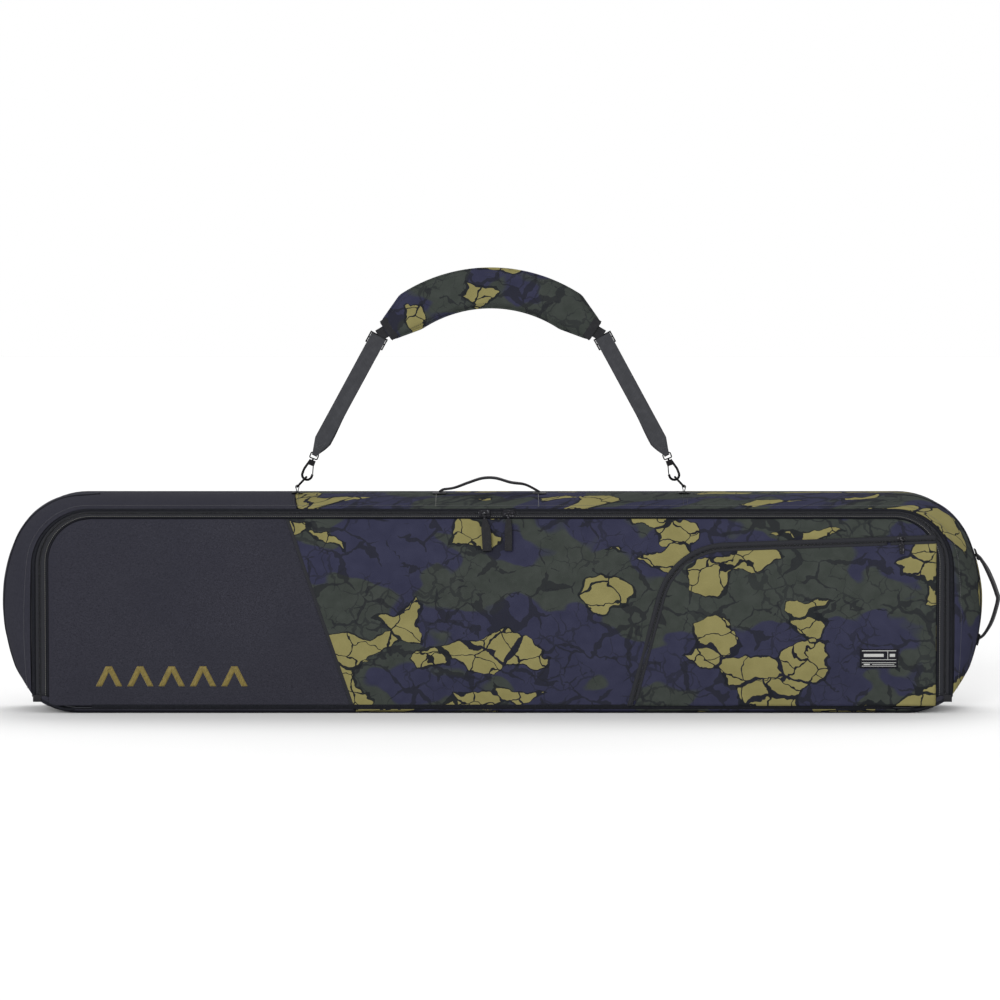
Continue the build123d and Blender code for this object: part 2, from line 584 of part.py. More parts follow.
def strap_tabs():
    """Webbing tabs for the rings: feet sewn to the bag, and the loops round the rings' bars."""
    feet, loops = [], []
    for side in (-1, 1):
        x = STRAP_X + side * TAB_HALF
        feet.append(block((x - 9, x + 9), (-14, 14), (HEIGHT + 0.3, HEIGHT + 0.3 + WEBBING_T)))
        roll = Location((x, 0, RING_AXIS_Z), (90, 0, 0)) * Cylinder(RING_WIRE_R + WEBBING_T, 7.0)
        bore = Location((x, 0, RING_AXIS_Z), (90, 0, 0)) * Cylinder(RING_WIRE_R + 0.05, 30.0)
        neck = block((x - WEBBING_T, x + WEBBING_T), (-3.5, 3.5), (RING_AXIS_Z - 7.2, RING_AXIS_Z))
        loops.append((roll + neck) - bore)
    write("strap_tab_feet", *feet)
    write("strap_tab_loops", *loops)


# ---------------------------------------------------------------- carry handles
HAUL_X, HAUL_HALF, HAUL_RISE = -5.0, 82.0, 22.0
HANDLE_T, HANDLE_W, HANDLE_END_W = 3.0, 26.0, 9.0
HAUL_AXIS_Z = HEIGHT + 5.2
END_HANDLE_X, END_HANDLE_Y, END_HANDLE_Z = 805.0, 4.0, 184.0
END_HANDLE_HALF, END_HANDLE_REACH = 70.0, 28.0
ROLL_R = 2.6  # folded end of a handle, which it turns about


def handle(half, rise):
    """A webbing grip as an arch over the X axis, narrow where it is sewn down."""
    points = [(-half, 0), (-half * 0.5, rise), (half * 0.5, rise), (half, 0)]
    line = FilletPolyline(*points, radius=half * 0.35)
    face = make_face([*line.edges(), Line(points[3], points[0])])
    under = make_face([
        *FilletPolyline(
            (-half + HANDLE_T * 2.4, 0), (-half * 0.5 + HANDLE_T * 0.6, rise - HANDLE_T),
            (half * 0.5 - HANDLE_T * 0.6, rise - HANDLE_T), (half - HANDLE_T * 2.4, 0), radius=half * 0.33,
        ).edges(),
        Line((half - HANDLE_T * 2.4, 0), (-half + HANDLE_T * 2.4, 0)),
    ])
    arch = Rotation(90, 0, 0) * extrude(face - under, amount=HANDLE_W / 2, both=True)
    tip, neck, shoulder = half + 5, half * 0.72, half * 0.5
    narrow, wide = HANDLE_END_W / 2, HANDLE_W / 2
    waist = make_face(Polyline(
        (-tip, narrow), (-neck, narrow), (-shoulder, wide), (shoulder, wide), (neck, narrow), (tip, narrow),
        (tip, -narrow), (neck, -narrow), (shoulder, -wide),
        (-shoulder, -wide), (-neck, -narrow), (-tip, -narrow),
        close=True,
    ))
    grip = arch & extrude(waist, amount=60, both=True)
    for end in (-1, 1):
        grip = grip + Pos(end * (half - 6.0), 0, 0) * (Rotation(0, 90, 0) * Cylinder(ROLL_R, 12.0))
    return grip


def handles():
    """Grab handle on top and pull handle on the tail end, with their sewn anchors."""
    write("haul_handle", Pos(HAUL_X, 0, HAUL_AXIS_Z) * handle(HAUL_HALF, HAUL_RISE))
    patches = []
    for end in (-1, 1):
        x = HAUL_X + end * HAUL_HALF
        patches.append(block((x - 13, x + 13), (-14, 14), (HEIGHT + 0.3, HEIGHT + 0.3 + WEBBING_T)))
    write("haul_handle_patches", *patches)
    turn = Location((END_HANDLE_X, END_HANDLE_Y, END_HANDLE_Z), (0, 90, 0))
    write("end_handle", turn * handle(END_HANDLE_HALF, END_HANDLE_REACH))
    patches = []
    for end in (-1, 1):
        rise = END_HANDLE_Z + end * END_HANDLE_HALF - half_height
        lean = asin(rise / END_R)
        out = END_R + 0.3 + WEBBING_T / 2
        x = LENGTH / 2 - END_R + out * cos(lean)
        place = (x, END_HANDLE_Y, half_height + out * sin(lean))
        patches.append(Location(place, (0, -degrees(lean), 0)) * Box(WEBBING_T, 24.0, 16.0))
    write("end_handle_patches", *patches)


def main():
    os.makedirs("parts", exist_ok=True)
    side_walls()
    back_panel()
    opening_edge()
    lid()
    pocket()
    main_sliders()
    pocket_slider()
    label_and_badge()
    shoulder_pad()
    pad_end_tabs()
    for side in (-1, 1):
        strap_webbing(side)
        strap_buckle(side)
        hook_swivel(side)
        hook_body(side)
        hook_gate(side)
    strap_rings()
    strap_tabs()
    handles()


main()
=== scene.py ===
from math import asin, atan2, cos, hypot, pi, radians, sin, sqrt

import bmesh
import bpy
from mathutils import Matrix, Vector, noise


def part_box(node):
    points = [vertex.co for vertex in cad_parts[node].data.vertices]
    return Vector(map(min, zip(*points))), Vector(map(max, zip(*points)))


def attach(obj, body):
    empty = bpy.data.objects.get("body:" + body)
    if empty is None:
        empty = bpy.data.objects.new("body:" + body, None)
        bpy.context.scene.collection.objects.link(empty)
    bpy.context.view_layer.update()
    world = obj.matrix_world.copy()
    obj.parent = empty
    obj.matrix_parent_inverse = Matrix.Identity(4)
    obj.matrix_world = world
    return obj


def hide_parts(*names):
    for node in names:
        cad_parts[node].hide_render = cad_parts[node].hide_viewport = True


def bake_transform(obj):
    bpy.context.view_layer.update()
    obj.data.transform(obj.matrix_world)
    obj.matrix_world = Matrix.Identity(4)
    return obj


# Looks of the padded snowboard bag: cloth, webbing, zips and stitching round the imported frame.
# Lengths are in metres, in the frame's axes: +X to the tail end, -Y out of the lid, +Z up.

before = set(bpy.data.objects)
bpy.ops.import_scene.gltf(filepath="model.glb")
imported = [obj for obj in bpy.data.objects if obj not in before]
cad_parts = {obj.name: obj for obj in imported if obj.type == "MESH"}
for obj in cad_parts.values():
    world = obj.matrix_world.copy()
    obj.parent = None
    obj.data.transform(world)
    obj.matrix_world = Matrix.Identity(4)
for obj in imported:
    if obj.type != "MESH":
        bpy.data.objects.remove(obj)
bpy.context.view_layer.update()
MM = 0.001

# ---------------------------------------------------------------- sizes taken from the frame
HALF_LENGTH, _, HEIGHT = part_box("tail_fabric")[1]
edge_low, edge_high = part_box("opening_binding")
FRONT_HALF = edge_high[0]
FRONT_TOP = edge_high[2]
FRONT_Y = edge_low[1]
BACK_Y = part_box("back_fabric")[1][1]
LID_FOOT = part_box("lid_foam")[0][2]

# Shape of the outlines, as the padding holds them
END_CORNER_R = 125 * MM
END_R = 260 * MM
FRONT_CORNER_R = 95 * MM
ZIP_SIDE_W = 24 * MM
ZIP_TOP_W = 13 * MM
ZIP_CORNER_STEP = 22 * MM
ZIP_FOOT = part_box("gusset_zip_tape")[0][2]
half_height = HEIGHT / 2

# Seams
NOSE_SEAM_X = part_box("nose_fabric")[1][0]
SEAM_TOP_X, SEAM_FOOT_X = -334 * MM, -224 * MM
SEAM_TOP_Z = 319 * MM
CROSS_SEAMS = (-320 * MM, -89 * MM, 78 * MM, 314 * MM)

# Thicknesses
CLOTH_T, LINING_T, TAPE_T = 1.2 * MM, 0.8 * MM, 0.8 * MM


# ---------------------------------------------------------------- mesh helpers
def add_mesh(name, verts, faces, uvs=None):
    """A smooth-shaded mesh object at the origin; uvs has one pair, in metres, for each vertex."""
    mesh = bpy.data.meshes.new(name)
    mesh.from_pydata([tuple(v) for v in verts], [], faces)
    mesh.update()
    if uvs is not None:
        layer = mesh.uv_layers.new(name="uv")
        for loop in mesh.loops:
            layer.data[loop.index].uv = uvs[loop.vertex_index]
    for polygon in mesh.polygons:
        polygon.use_smooth = True
    obj = bpy.data.objects.new(name, mesh)
    bpy.context.scene.collection.objects.link(obj)
    return obj


def quads(rows, width, ring=True, loop=False, base=0):
    """Faces between rows of points. In a ring each row closes up; in a loop the last row meets the first."""
    faces = []
    for r in range(rows if loop else rows - 1):
        near, far = base + r * width, base + (r + 1) % rows * width
        for c in range(width if ring else width - 1):
            d = (c + 1) % width
            faces.append((near + c, near + d, far + d, far + c))
    return faces


def add_grid(name, rows, uv_rows, keep=None, closed=False):
    """A sheet from rows of points. keep(row, column) says which cells have a face."""
    width = len(rows[0])
    verts = [p for row in rows for p in row]
    uvs = [p for row in uv_rows for p in row]
    faces = [f for f in quads(len(rows), width, closed) if keep is None or keep(*divmod(f[0], width))]
    obj = add_mesh(name, verts, faces, uvs)
    drop_loose(obj)
    return obj


def add_sheet(name, rows):
    """A sheet from rows of points, with x and z as its uvs."""
    return add_grid(name, rows, [[(p[0], p[2]) for p in row] for row in rows])


def drop_loose(obj):
    """Removes points without a face and turns the faces outwards."""
    edit = bmesh.new()
    edit.from_mesh(obj.data)
    bmesh.ops.delete(edit, geom=[v for v in edit.verts if not v.link_faces], context="VERTS")
    bmesh.ops.recalc_face_normals(edit, faces=edit.faces)
    edit.to_mesh(obj.data)
    edit.free()


def thicken(obj, thickness, offset=-1.0):
    modifier = obj.modifiers.new("thickness", "SOLIDIFY")
    modifier.thickness = thickness
    modifier.offset = offset


def subdivide(obj, levels=1):
    modifier = obj.modifiers.new("smooth", "SUBSURF")
    modifier.levels = levels
    modifier.render_levels = levels


def bevel(obj, width, segments=2):
    modifier = obj.modifiers.new("soft_edge", "BEVEL")
    modifier.width = width
    modifier.segments = segments
    modifier.limit_method = "ANGLE"


def dress(obj, material, body, slot, replaces=()):
    """Gives a piece its material and its body, and hides the CAD nodes that it stands for."""
    obj.data.materials.clear()
    obj.data.materials.append(material)
    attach(obj, body)
    if replaces:
        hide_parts(*replaces)
    return obj


def fold_noise(x, y, z, scale, seed=0.0):
    """Smooth noise between about -1 and 1 that repeats exactly on every run."""
    return noise.noise(Vector((x * scale + seed, y * scale - seed, z * scale + 0.37 * seed)))


def smooth_step(low, high, value):
    t = min(max((value - low) / (high - low), 0.0), 1.0)
    return t * t * (3 - 2 * t)


# ---------------------------------------------------------------- outlines
def arc_points(centre, radius, start, end, count):
    """Points on an arc, without its first."""
    step = (end - start) / count
    return [
        (centre[0] + radius * cos(start + step * i), centre[1] + radius * sin(start + step * i))
        for i in range(1, count + 1)
    ]


def line_points(a, b, count):
    """Points on a line, without its first."""
    return [(a[0] + (b[0] - a[0]) * i / count, a[1] + (b[1] - a[1]) * i / count) for i in range(1, count + 1)]


CORNER_STEPS, END_STEPS, TOP_STEPS = 14, 26, 120


def wide_side(inset=0.0):
    """Right half of the widest outline, from the bottom up."""
    corner_r, end_r = END_CORNER_R - inset, END_R - inset
    rise = half_height - END_CORNER_R
    run = sqrt((END_R - END_CORNER_R) ** 2 - rise**2)
    end_x = HALF_LENGTH - END_R
    join = atan2(rise, run)
    low, high = (end_x + run, half_height - rise), (end_x + run, half_height + rise)
    return (
        [(low[0], low[1] - corner_r)]
        + arc_points(low, corner_r, -pi / 2, -join, CORNER_STEPS)
        + arc_points((end_x, half_height), end_r, -join, join, END_STEPS)
        + arc_points(high, corner_r, join, pi / 2, CORNER_STEPS)
    )


def front_side(share=0.0, inset=0.0):
    """Right half of the opening: share 0 is its outer edge and 1 the lid's panel edge."""
    side_x = FRONT_HALF - ZIP_SIDE_W * share - inset
    top_z = FRONT_TOP - ZIP_TOP_W * share - inset
    top_r = FRONT_CORNER_R - ZIP_CORNER_STEP * share - inset
    low = (wide_side()[0][0], END_CORNER_R)
    low_r = END_CORNER_R - inset
    foot = asin((side_x - low[0]) / low_r) - pi / 2
    foot_z = low[1] + low_r * sin(foot)
    high = (side_x - top_r, top_z - top_r)
    return (
        [(low[0], low[1] - low_r)]
        + arc_points(low, low_r, -pi / 2, foot, CORNER_STEPS)
        + line_points((side_x, foot_z), (side_x, high[1]), END_STEPS)
        + arc_points(high, top_r, 0, pi / 2, CORNER_STEPS)
    )


def mixed_side(share, inset=0.0):
    return [
        (a[0] + (b[0] - a[0]) * share, a[1] + (b[1] - a[1]) * share)
        for a, b in zip(front_side(0.0, inset), wide_side(inset))
    ]


def whole_loop(side):
    """A closed loop from its right half, anticlockwise from the middle of the bottom."""
    bottom = line_points((0, side[0][1]), side[0], TOP_STEPS // 2)
    top = line_points(side[-1], (0, side[-1][1]), TOP_STEPS // 2)
    right = [(0, side[0][1])] + bottom + side[1:] + top
    left = [(-x, z) for x, z in reversed(right[1:-1])]
    return right + left


def lengths_along(points):
    total, out = 0.0, [0.0]
    for a, b in zip(points, points[1:]):
        total += hypot(b[0] - a[0], b[1] - a[1])
        out.append(total)
    return out


def opening_line(share, inset=0.0):
    """The zip's route up the tail end, along the top and down the nose end."""
    side = front_side(share, inset)
    turn = side[-1 - CORNER_STEPS]
    foot = (turn[0], ZIP_FOOT)
    rise = [foot] + line_points(foot, turn, END_STEPS) + side[-CORNER_STEPS:]
    top = line_points(rise[-1], (-rise[-1][0], rise[-1][1]), 2 * TOP_STEPS)
    return rise + top + [(-x, z) for x, z in reversed(rise[:-1])]


# ---------------------------------------------------------------- material nodes
LIGHT_SHARE = 0.52  # the studio light is brighter than white, so surfaces are this much darker


def srgb(r, g, b):
    """The linear surface colour that looks like these 0 to 255 values in the studio light."""
    def linear(v):
        v /= 255
        return (v / 12.92 if v <= 0.04045 else ((v + 0.055) / 1.055) ** 2.4) * LIGHT_SHARE

    return (linear(r), linear(g), linear(b), 1.0)


class Nodes:
    """Short calls for building one material. Each returns an output socket."""

    def __init__(self, name):
        self.material = bpy.data.materials.new(name)
        self.material.use_nodes = True
        self.tree = self.material.node_tree
        self.shader = self.tree.nodes["Principled BSDF"]

    def put(self, socket, value):
        if isinstance(value, bpy.types.NodeSocket):
            self.tree.links.new(value, socket)
        else:
            socket.default_value = value

    def add(self, kind, inputs, output=0, **settings):
        """A new node with its settings, and with values or links for its inputs."""
        node = self.tree.nodes.new("ShaderNode" + kind)
        for key, value in settings.items():
            setattr(node, key, value)
        for key, value in inputs.items():
            self.put(node.inputs[key], value)
        return node.outputs[output]

    def split(self, vector):
        node = self.tree.nodes.new("ShaderNodeSeparateXYZ")
        self.put(node.inputs[0], vector)
        return tuple(node.outputs)

    def uv(self):
        return self.add("UVMap", {}, "UV", uv_map="uv")

    def position(self):
        """The place on the piece, in its own coordinates."""
        return self.add("TexCoord", {}, "Object")

    def flat(self):
        """Object coordinates seen from the front, as (x, z, y)."""
        x, y, z = self.split(self.position())
        return self.add("CombineXYZ", {0: x, 1: z, 2: y})

    def stretch(self, vector, scale, shift=(0, 0, 0)):
        return self.add("Mapping", {"Vector": vector, "Scale": scale, "Location": shift})

    def noise(self, vector, scale, detail=2.0, roughness=0.5):
        inputs = {"Vector": vector, "Scale": scale, "Detail": detail, "Roughness": roughness}
        return self.add("TexNoise", inputs, "Fac")

    def cells(self, vector, scale):
        """Distance to the edge of the cell that each point falls in."""
        return self.add("TexVoronoi", {"Vector": vector, "Scale": scale}, "Distance", feature="DISTANCE_TO_EDGE")

    def cell_centres(self, vector, scale):
        """The middle of the cell that each point falls in."""
        return self.add("TexVoronoi", {"Vector": vector, "Scale": scale}, "Position")

    def math(self, kind, a, b=0.0):
        """MULTIPLY_ADD adds 0.5."""
        return self.add("Math", {0: a, 1: b, 2: 0.5}, operation=kind)

    def ramp(self, value, low, high):
        """0 below low, 1 above high, straight between them."""
        return self.add("MapRange", {"Value": value, "From Min": low, "From Max": high}, "Result")

    def mix(self, factor, a, b):
        return self.add("Mix", {"Factor": factor, 6: a, 7: b}, 2, data_type="RGBA")

    def warp(self, vector, scale, amount):
        """The vector pushed about by noise."""
        push = self.add("TexNoise", {"Vector": vector, "Scale": scale, "Detail": 3.0}, "Color")
        return self.add("VectorMath", {0: push, 1: (amount, amount, 0), 2: vector}, operation="MULTIPLY_ADD")

    def weave(self, vector, pitch_u, pitch_v):
        """Over-and-under threads, from 0 to 1."""
        u, v, _ = self.split(vector)
        u = self.math("SINE", self.math("MULTIPLY", u, 2 * pi / pitch_u))
        v = self.math("SINE", self.math("MULTIPLY", v, 2 * pi / pitch_v))
        return self.math("MULTIPLY_ADD", self.math("MULTIPLY", u, v), 0.5)

    def bump(self, height, distance, strength=1.0, normal=None):
        inputs = {"Height": height, "Distance": distance, "Strength": strength}
        return self.add("Bump", inputs if normal is None else {**inputs, "Normal": normal})

    def finish(self, colour, roughness, normal=None, metallic=0.0, sheen=0.0, specular=0.12):
        inputs = {"Base Color": colour, "Roughness": roughness, "Metallic": metallic, "Sheen Weight": sheen,
                  "Sheen Roughness": 0.45, "Specular IOR Level": specular}
        if normal is not None:
            inputs["Normal"] = normal
        for key, value in inputs.items():
            self.put(self.shader.inputs[key], value)
        return self.material


# ---------------------------------------------------------------- materials
def black_cloth(name, flat=False, tint=(54, 54, 62)):
    """Heathered black polyester."""
    n = Nodes(name)
    at = n.flat() if flat else n.uv()
    grain = n.noise(n.stretch(at, (1, 0.35, 1)), 1400, 2, 0.6)
    slubs = n.noise(n.stretch(at, (0.25, 1, 1)), 900, 2, 0.7)
    cloud = n.noise(at, 9, 3)
    r, g, b = tint
    dark, light = srgb(r - 14, g - 14, b - 15), srgb(r + 15, g + 15, b + 17)
    colour = n.mix(n.ramp(n.math("ADD", grain, n.math("MULTIPLY", slubs, 0.6)), 0.55, 1.05), dark, light)
    colour = n.mix(n.ramp(cloud, 0.3, 0.7), colour, n.mix(0.35, colour, srgb(r - 6, g - 6, b - 4)))
    threads = n.bump(n.weave(at, 0.9 * MM, 0.9 * MM), 0.12 * MM, 0.6)
    normal = n.bump(grain, 0.15 * MM, 0.5, threads)
    return n.finish(colour, 0.9, normal, specular=0.03)


def print_cloth(name, flat=False, shift=(0, 0, 0)):
    """Camouflage print: green and navy blotches, dark branches and khaki shards."""
    n = Nodes(name)
    base = n.flat() if flat else n.uv()
    at = n.stretch(base, (1, 1, 1), shift)
    loose = n.warp(at, 9, 0.06)

    green = n.mix(n.noise(at, 60, 3), srgb(57, 62, 58), srgb(77, 82, 78))
    navy = n.mix(n.noise(at, 45, 3), srgb(51, 52, 73), srgb(66, 67, 90))
    blotch = n.noise(n.stretch(loose, (1, 1.5, 1)), 6.5, 2.0, 0.45)
    ground = n.mix(n.ramp(blotch, 0.49, 0.51), green, navy)

    branches = n.cells(n.stretch(n.warp(at, 22, 0.06), (1, 1.3, 1)), 17)
    broken = n.noise(at, 17, 3)
    width = n.ramp(broken, 0.42, 0.70)
    branch = n.math("LESS_THAN", branches, n.math("MULTIPLY", width, 0.11))
    ground = n.mix(n.math("MULTIPLY", branch, 0.7), ground, srgb(42, 43, 48))
    twigs = n.cells(n.stretch(n.warp(at, 40, 0.03), (1.1, 1, 1), (4.4, 0.9, 0)), 36)
    fine = n.ramp(n.noise(at, 11, 2), 0.46, 0.6)
    twig = n.math("LESS_THAN", twigs, n.math("MULTIPLY", fine, 0.06))
    ground = n.mix(n.math("MULTIPLY", twig, 0.5), ground, srgb(42, 43, 48))

    chips = n.stretch(n.warp(n.warp(at, 13, 0.07), 55, 0.012), (0.72, 1.3, 1), (0.7, 0.2, 0))
    chosen = n.noise(n.cell_centres(chips, 18), 21, 1.0, 0.5)
    cracks = n.cells(chips, 18)
    inside = n.math("GREATER_THAN", chosen, 0.576)
    whole = n.math("GREATER_THAN", cracks, n.ramp(n.noise(at, 30, 2), 0.25, 5.5))
    clear = n.math("GREATER_THAN", branches, 0.02)
    khaki = n.mix(n.noise(at, 35, 3), srgb(136, 129, 82), srgb(164, 156, 104))
    ground = n.mix(n.math("MULTIPLY", inside, 0.8), ground, srgb(36, 38, 42))
    colour = n.mix(n.math("MULTIPLY", n.math("MULTIPLY", inside, whole), clear), ground, khaki)

    grain = n.noise(base, 1100, 2, 0.6)
    colour = n.mix(n.ramp(grain, 0.35, 0.9), n.mix(0.12, colour, srgb(20, 21, 24)), colour)
    threads = n.bump(n.weave(base, 0.8 * MM, 0.8 * MM), 0.10 * MM, 0.6)
    normal = n.bump(grain, 0.12 * MM, 0.4, threads)
    return n.finish(colour, 0.9, normal, specular=0.03)


def webbing_cloth(name, tint=(70, 71, 75)):
    """Woven polyester webbing with a ribbed face."""
    n = Nodes(name)
    at = n.uv()
    twill = n.weave(n.warp(at, 400, 0.0002), 3.2 * MM, 2.4 * MM)
    r, g, b = tint
    worn = n.noise(at, 90, 3)
    colour = n.mix(twill, srgb(r - 26, g - 26, b - 27), srgb(r + 6, g + 6, b + 7))
    colour = n.mix(n.ramp(worn, 0.45, 0.8), colour, n.mix(0.25, colour, srgb(r + 26, g + 26, b + 27)))
    return n.finish(colour, 0.72, n.bump(twill, 0.35 * MM, 0.8), sheen=0.04)


def zip_tape_cloth(name):
    n = Nodes(name)
    at = n.uv()
    rib = n.weave(at, 1.1 * MM, 2.4 * MM)
    colour = n.mix(rib, srgb(32, 33, 37), srgb(50, 51, 57))
    return n.finish(colour, 0.7, n.bump(rib, 0.2 * MM, 0.6), sheen=0.04)


def coil_plastic(name):
    """Nylon coil: a tooth every 1.3 mm along the zip."""
    n = Nodes(name)
    at = n.uv()
    tooth = n.math("SINE", n.math("MULTIPLY", n.split(at)[0], 2 * pi / (1.3 * MM)))
    height = n.math("MULTIPLY_ADD", tooth, 0.5)
    colour = n.mix(height, srgb(22, 23, 25), srgb(66, 67, 72))
    return n.finish(colour, 0.35, n.bump(height, 0.5 * MM, 0.9), specular=0.4)


def dark_metal(name, tint=(34, 34, 36), glint=42):
    """Dark plated metal, painted a little lighter in places as glints; the same noise varies its roughness and
    bumps.
    """
    n = Nodes(name)
    at = n.position()
    rubbing_and_glints = n.noise(at, 260, 3)
    r, g, b = tint
    # Painted glints: the lighter patches stand in for highlights on the metal.
    colour = n.mix(n.ramp(rubbing_and_glints, 0.55, 0.75), srgb(r, g, b), srgb(r + glint, g + glint, b + glint))
    return n.finish(colour, n.ramp(rubbing_and_glints, -1.2, 1.4), n.bump(rubbing_and_glints, 0.05 * MM, 0.4), metallic=0.85, specular=0.1)


def moulded_plastic(name):
    n = Nodes(name)
    pebble = n.noise(n.position(), 1500, 2)
    colour = n.mix(n.noise(n.position(), 120, 2), srgb(24, 24, 26), srgb(38, 38, 41))
    return n.finish(colour, 0.8, n.bump(pebble, 0.06 * MM, 0.5), specular=0.1)


def thread(name, tint):
    n = Nodes(name)
    fine = n.noise(n.position(), 2500, 2)
    r, g, b = tint
    colour = n.mix(fine, srgb(r * 0.75, g * 0.75, b * 0.75), srgb(r, g, b))
    return n.finish(colour, 0.6, n.bump(fine, 0.05 * MM, 0.5), sheen=0.1)


def satin_stitch(name):
    """Dense slanting embroidery thread."""
    n = Nodes(name)
    at = n.flat()
    turned = n.add("VectorRotate", {"Vector": at, "Angle": radians(28)}, rotation_type="Z_AXIS")
    lay = n.noise(n.stretch(turned, (1, 0.06, 1)), 1700, 2, 0.6)
    glow = n.noise(at, 40, 2)
    colour = n.mix(n.ramp(lay, 0.3, 0.7), srgb(92, 78, 34), srgb(158, 140, 74))
    colour = n.mix(n.ramp(glow, 0.3, 0.8), colour, n.mix(0.3, colour, srgb(122, 112, 66)))
    return n.finish(colour, 0.5, n.bump(lay, 0.35 * MM, 0.9), sheen=0.15)


def lining_cloth(name):
    n = Nodes(name)
    at = n.flat()
    rip = n.weave(at, 5 * MM, 5 * MM)
    colour = n.mix(n.noise(at, 30, 3), srgb(52, 53, 57), srgb(70, 71, 76))
    colour = n.mix(n.ramp(rip, 0.86, 0.98), colour, srgb(40, 41, 45))
    return n.finish(colour, 0.55, n.bump(rip, 0.15 * MM, 0.5))


black = black_cloth("black_cloth")
black_flat = black_cloth("black_cloth_flat", flat=True)
black_back = black_cloth("black_cloth_back", flat=True, tint=(62, 63, 71))
black_edge = black_cloth("black_edge", flat=True, tint=(34, 35, 39))
printed = print_cloth("print_cloth")
printed_flat = print_cloth("print_cloth_flat", flat=True, shift=(2.13, 0.41, 0))
printed_pocket = print_cloth("print_cloth_pocket", flat=True, shift=(5.32, 1.87, 0))
printed_pad = print_cloth("print_cloth_pad", flat=True, shift=(8.71, 0.93, 0))
webbing = webbing_cloth("webbing")
black_webbing = webbing_cloth("black_webbing", (44, 44, 47))
tape_cloth = zip_tape_cloth("zip_tape")
coil = coil_plastic("zip_coil")
metal = dark_metal("dark_metal")
# The sliders and pulls get strong painted glints.
bright_metal = dark_metal("slider_metal", tint=(46, 46, 50), glint=110)
plastic = moulded_plastic("moulded_plastic")
grey_thread = thread("grey_thread", (118, 118, 122))
pale_thread = thread("pale_thread", (168, 168, 160))
dark_thread = thread("dark_thread", (60, 61, 66))
white_thread = thread("white_thread", (225, 225, 222))
gold_thread = satin_stitch("badge_thread")
lining = lining_cloth("lining")


# ---------------------------------------------------------------- camera, floor and light
FLOOR_CORNERS = [(-15, -15, 0), (15, -15, 0), (15, 30, 0), (-15, 30, 0)]
FLOOR_DARK, FLOOR_LIGHT = (0.68, 0.68, 0.68, 1), (0.69, 0.69, 0.69, 1)
SUNS = (  # name, place, strength, width in degrees
    ("back_top", Vector((0.6, 3.4, 6.0)), 1.2, 34),
    ("front_low", Vector((-1.6, -6.0, 1.7)), 2.7, 26),
)
SUN_AIM = Vector((0, 0, 0.2))


def set_stage():
    floor = add_mesh("floor", FLOOR_CORNERS, [(0, 1, 2, 3)], [(0, 0), (1, 0), (1, 1), (0, 1)])
    n = Nodes("floor_paint")
    floor.data.materials.append(n.finish(n.mix(n.noise(n.position(), 3, 2), FLOOR_DARK, FLOOR_LIGHT), 0.9))

    world = bpy.data.worlds.new("studio")
    bpy.context.scene.world = world
    world.use_nodes = True
    sky = world.node_tree.nodes["Background"]
    sky.inputs["Color"].default_value = (1, 1, 1, 1)
    sky.inputs["Strength"].default_value = 1.0

    for name, place, strength, spread in SUNS:
        light = bpy.data.lights.new(name, "SUN")
        light.energy = strength
        light.angle = radians(spread)
        lamp = bpy.data.objects.new(name, light)
        lamp.location = place
        lamp.rotation_euler = (SUN_AIM - place).to_track_quat("-Z", "Y").to_euler()
        bpy.context.scene.collection.objects.link(lamp)
    bpy.context.scene.view_settings.view_transform = "Standard"


CAMERA_AIM = Vector((12.3 * MM, 0, 343.6 * MM))
CAMERA_DISTANCE, CAMERA_ELEVATION, VIEW_WIDTH = 7.0, radians(3), 1.64


def set_camera():
    data = bpy.data.cameras.new("camera")
    data.sensor_width = 36
    data.lens = data.sensor_width * CAMERA_DISTANCE / VIEW_WIDTH
    data.clip_end = 100
    camera = bpy.data.objects.new("camera", data)
    away = Vector((0, -cos(CAMERA_ELEVATION), sin(CAMERA_ELEVATION)))
    camera.location = CAMERA_AIM + away * CAMERA_DISTANCE
    camera.rotation_euler = (-away).to_track_quat("-Z", "Y").to_euler()
    bpy.context.scene.collection.objects.link(camera)
    bpy.context.scene.camera = camera


set_stage()
set_camera()


# ---------------------------------------------------------------- walls
WALL_ROWS = 22
WALL_BACK_Y = BACK_Y - 3 * MM
WIDEST_Y = 12 * MM
SWELL_POWER = 0.75
BOTTOM_SEAM_X, BOTTOM_END_X = SEAM_FOOT_X, 655 * MM


def wall_share(y):
    """How far the wall has swollen from the opening's edge towards the widest outline."""
    if y >= WIDEST_Y:
        return 1 - 0.02 * ((y - WIDEST_Y) / (60 * MM)) ** 2
    return sin(pi / 2 * ((y - FRONT_Y) / (WIDEST_Y - FRONT_Y)) ** SWELL_POWER)


def top_height(y):
    return FRONT_TOP + (HEIGHT - FRONT_TOP) * wall_share(y)


def depth_at(share):
    """The y at which the wall has swollen this much."""
    return FRONT_Y + (WIDEST_Y - FRONT_Y) * (asin(share) / (pi / 2)) ** (1 / SWELL_POWER)


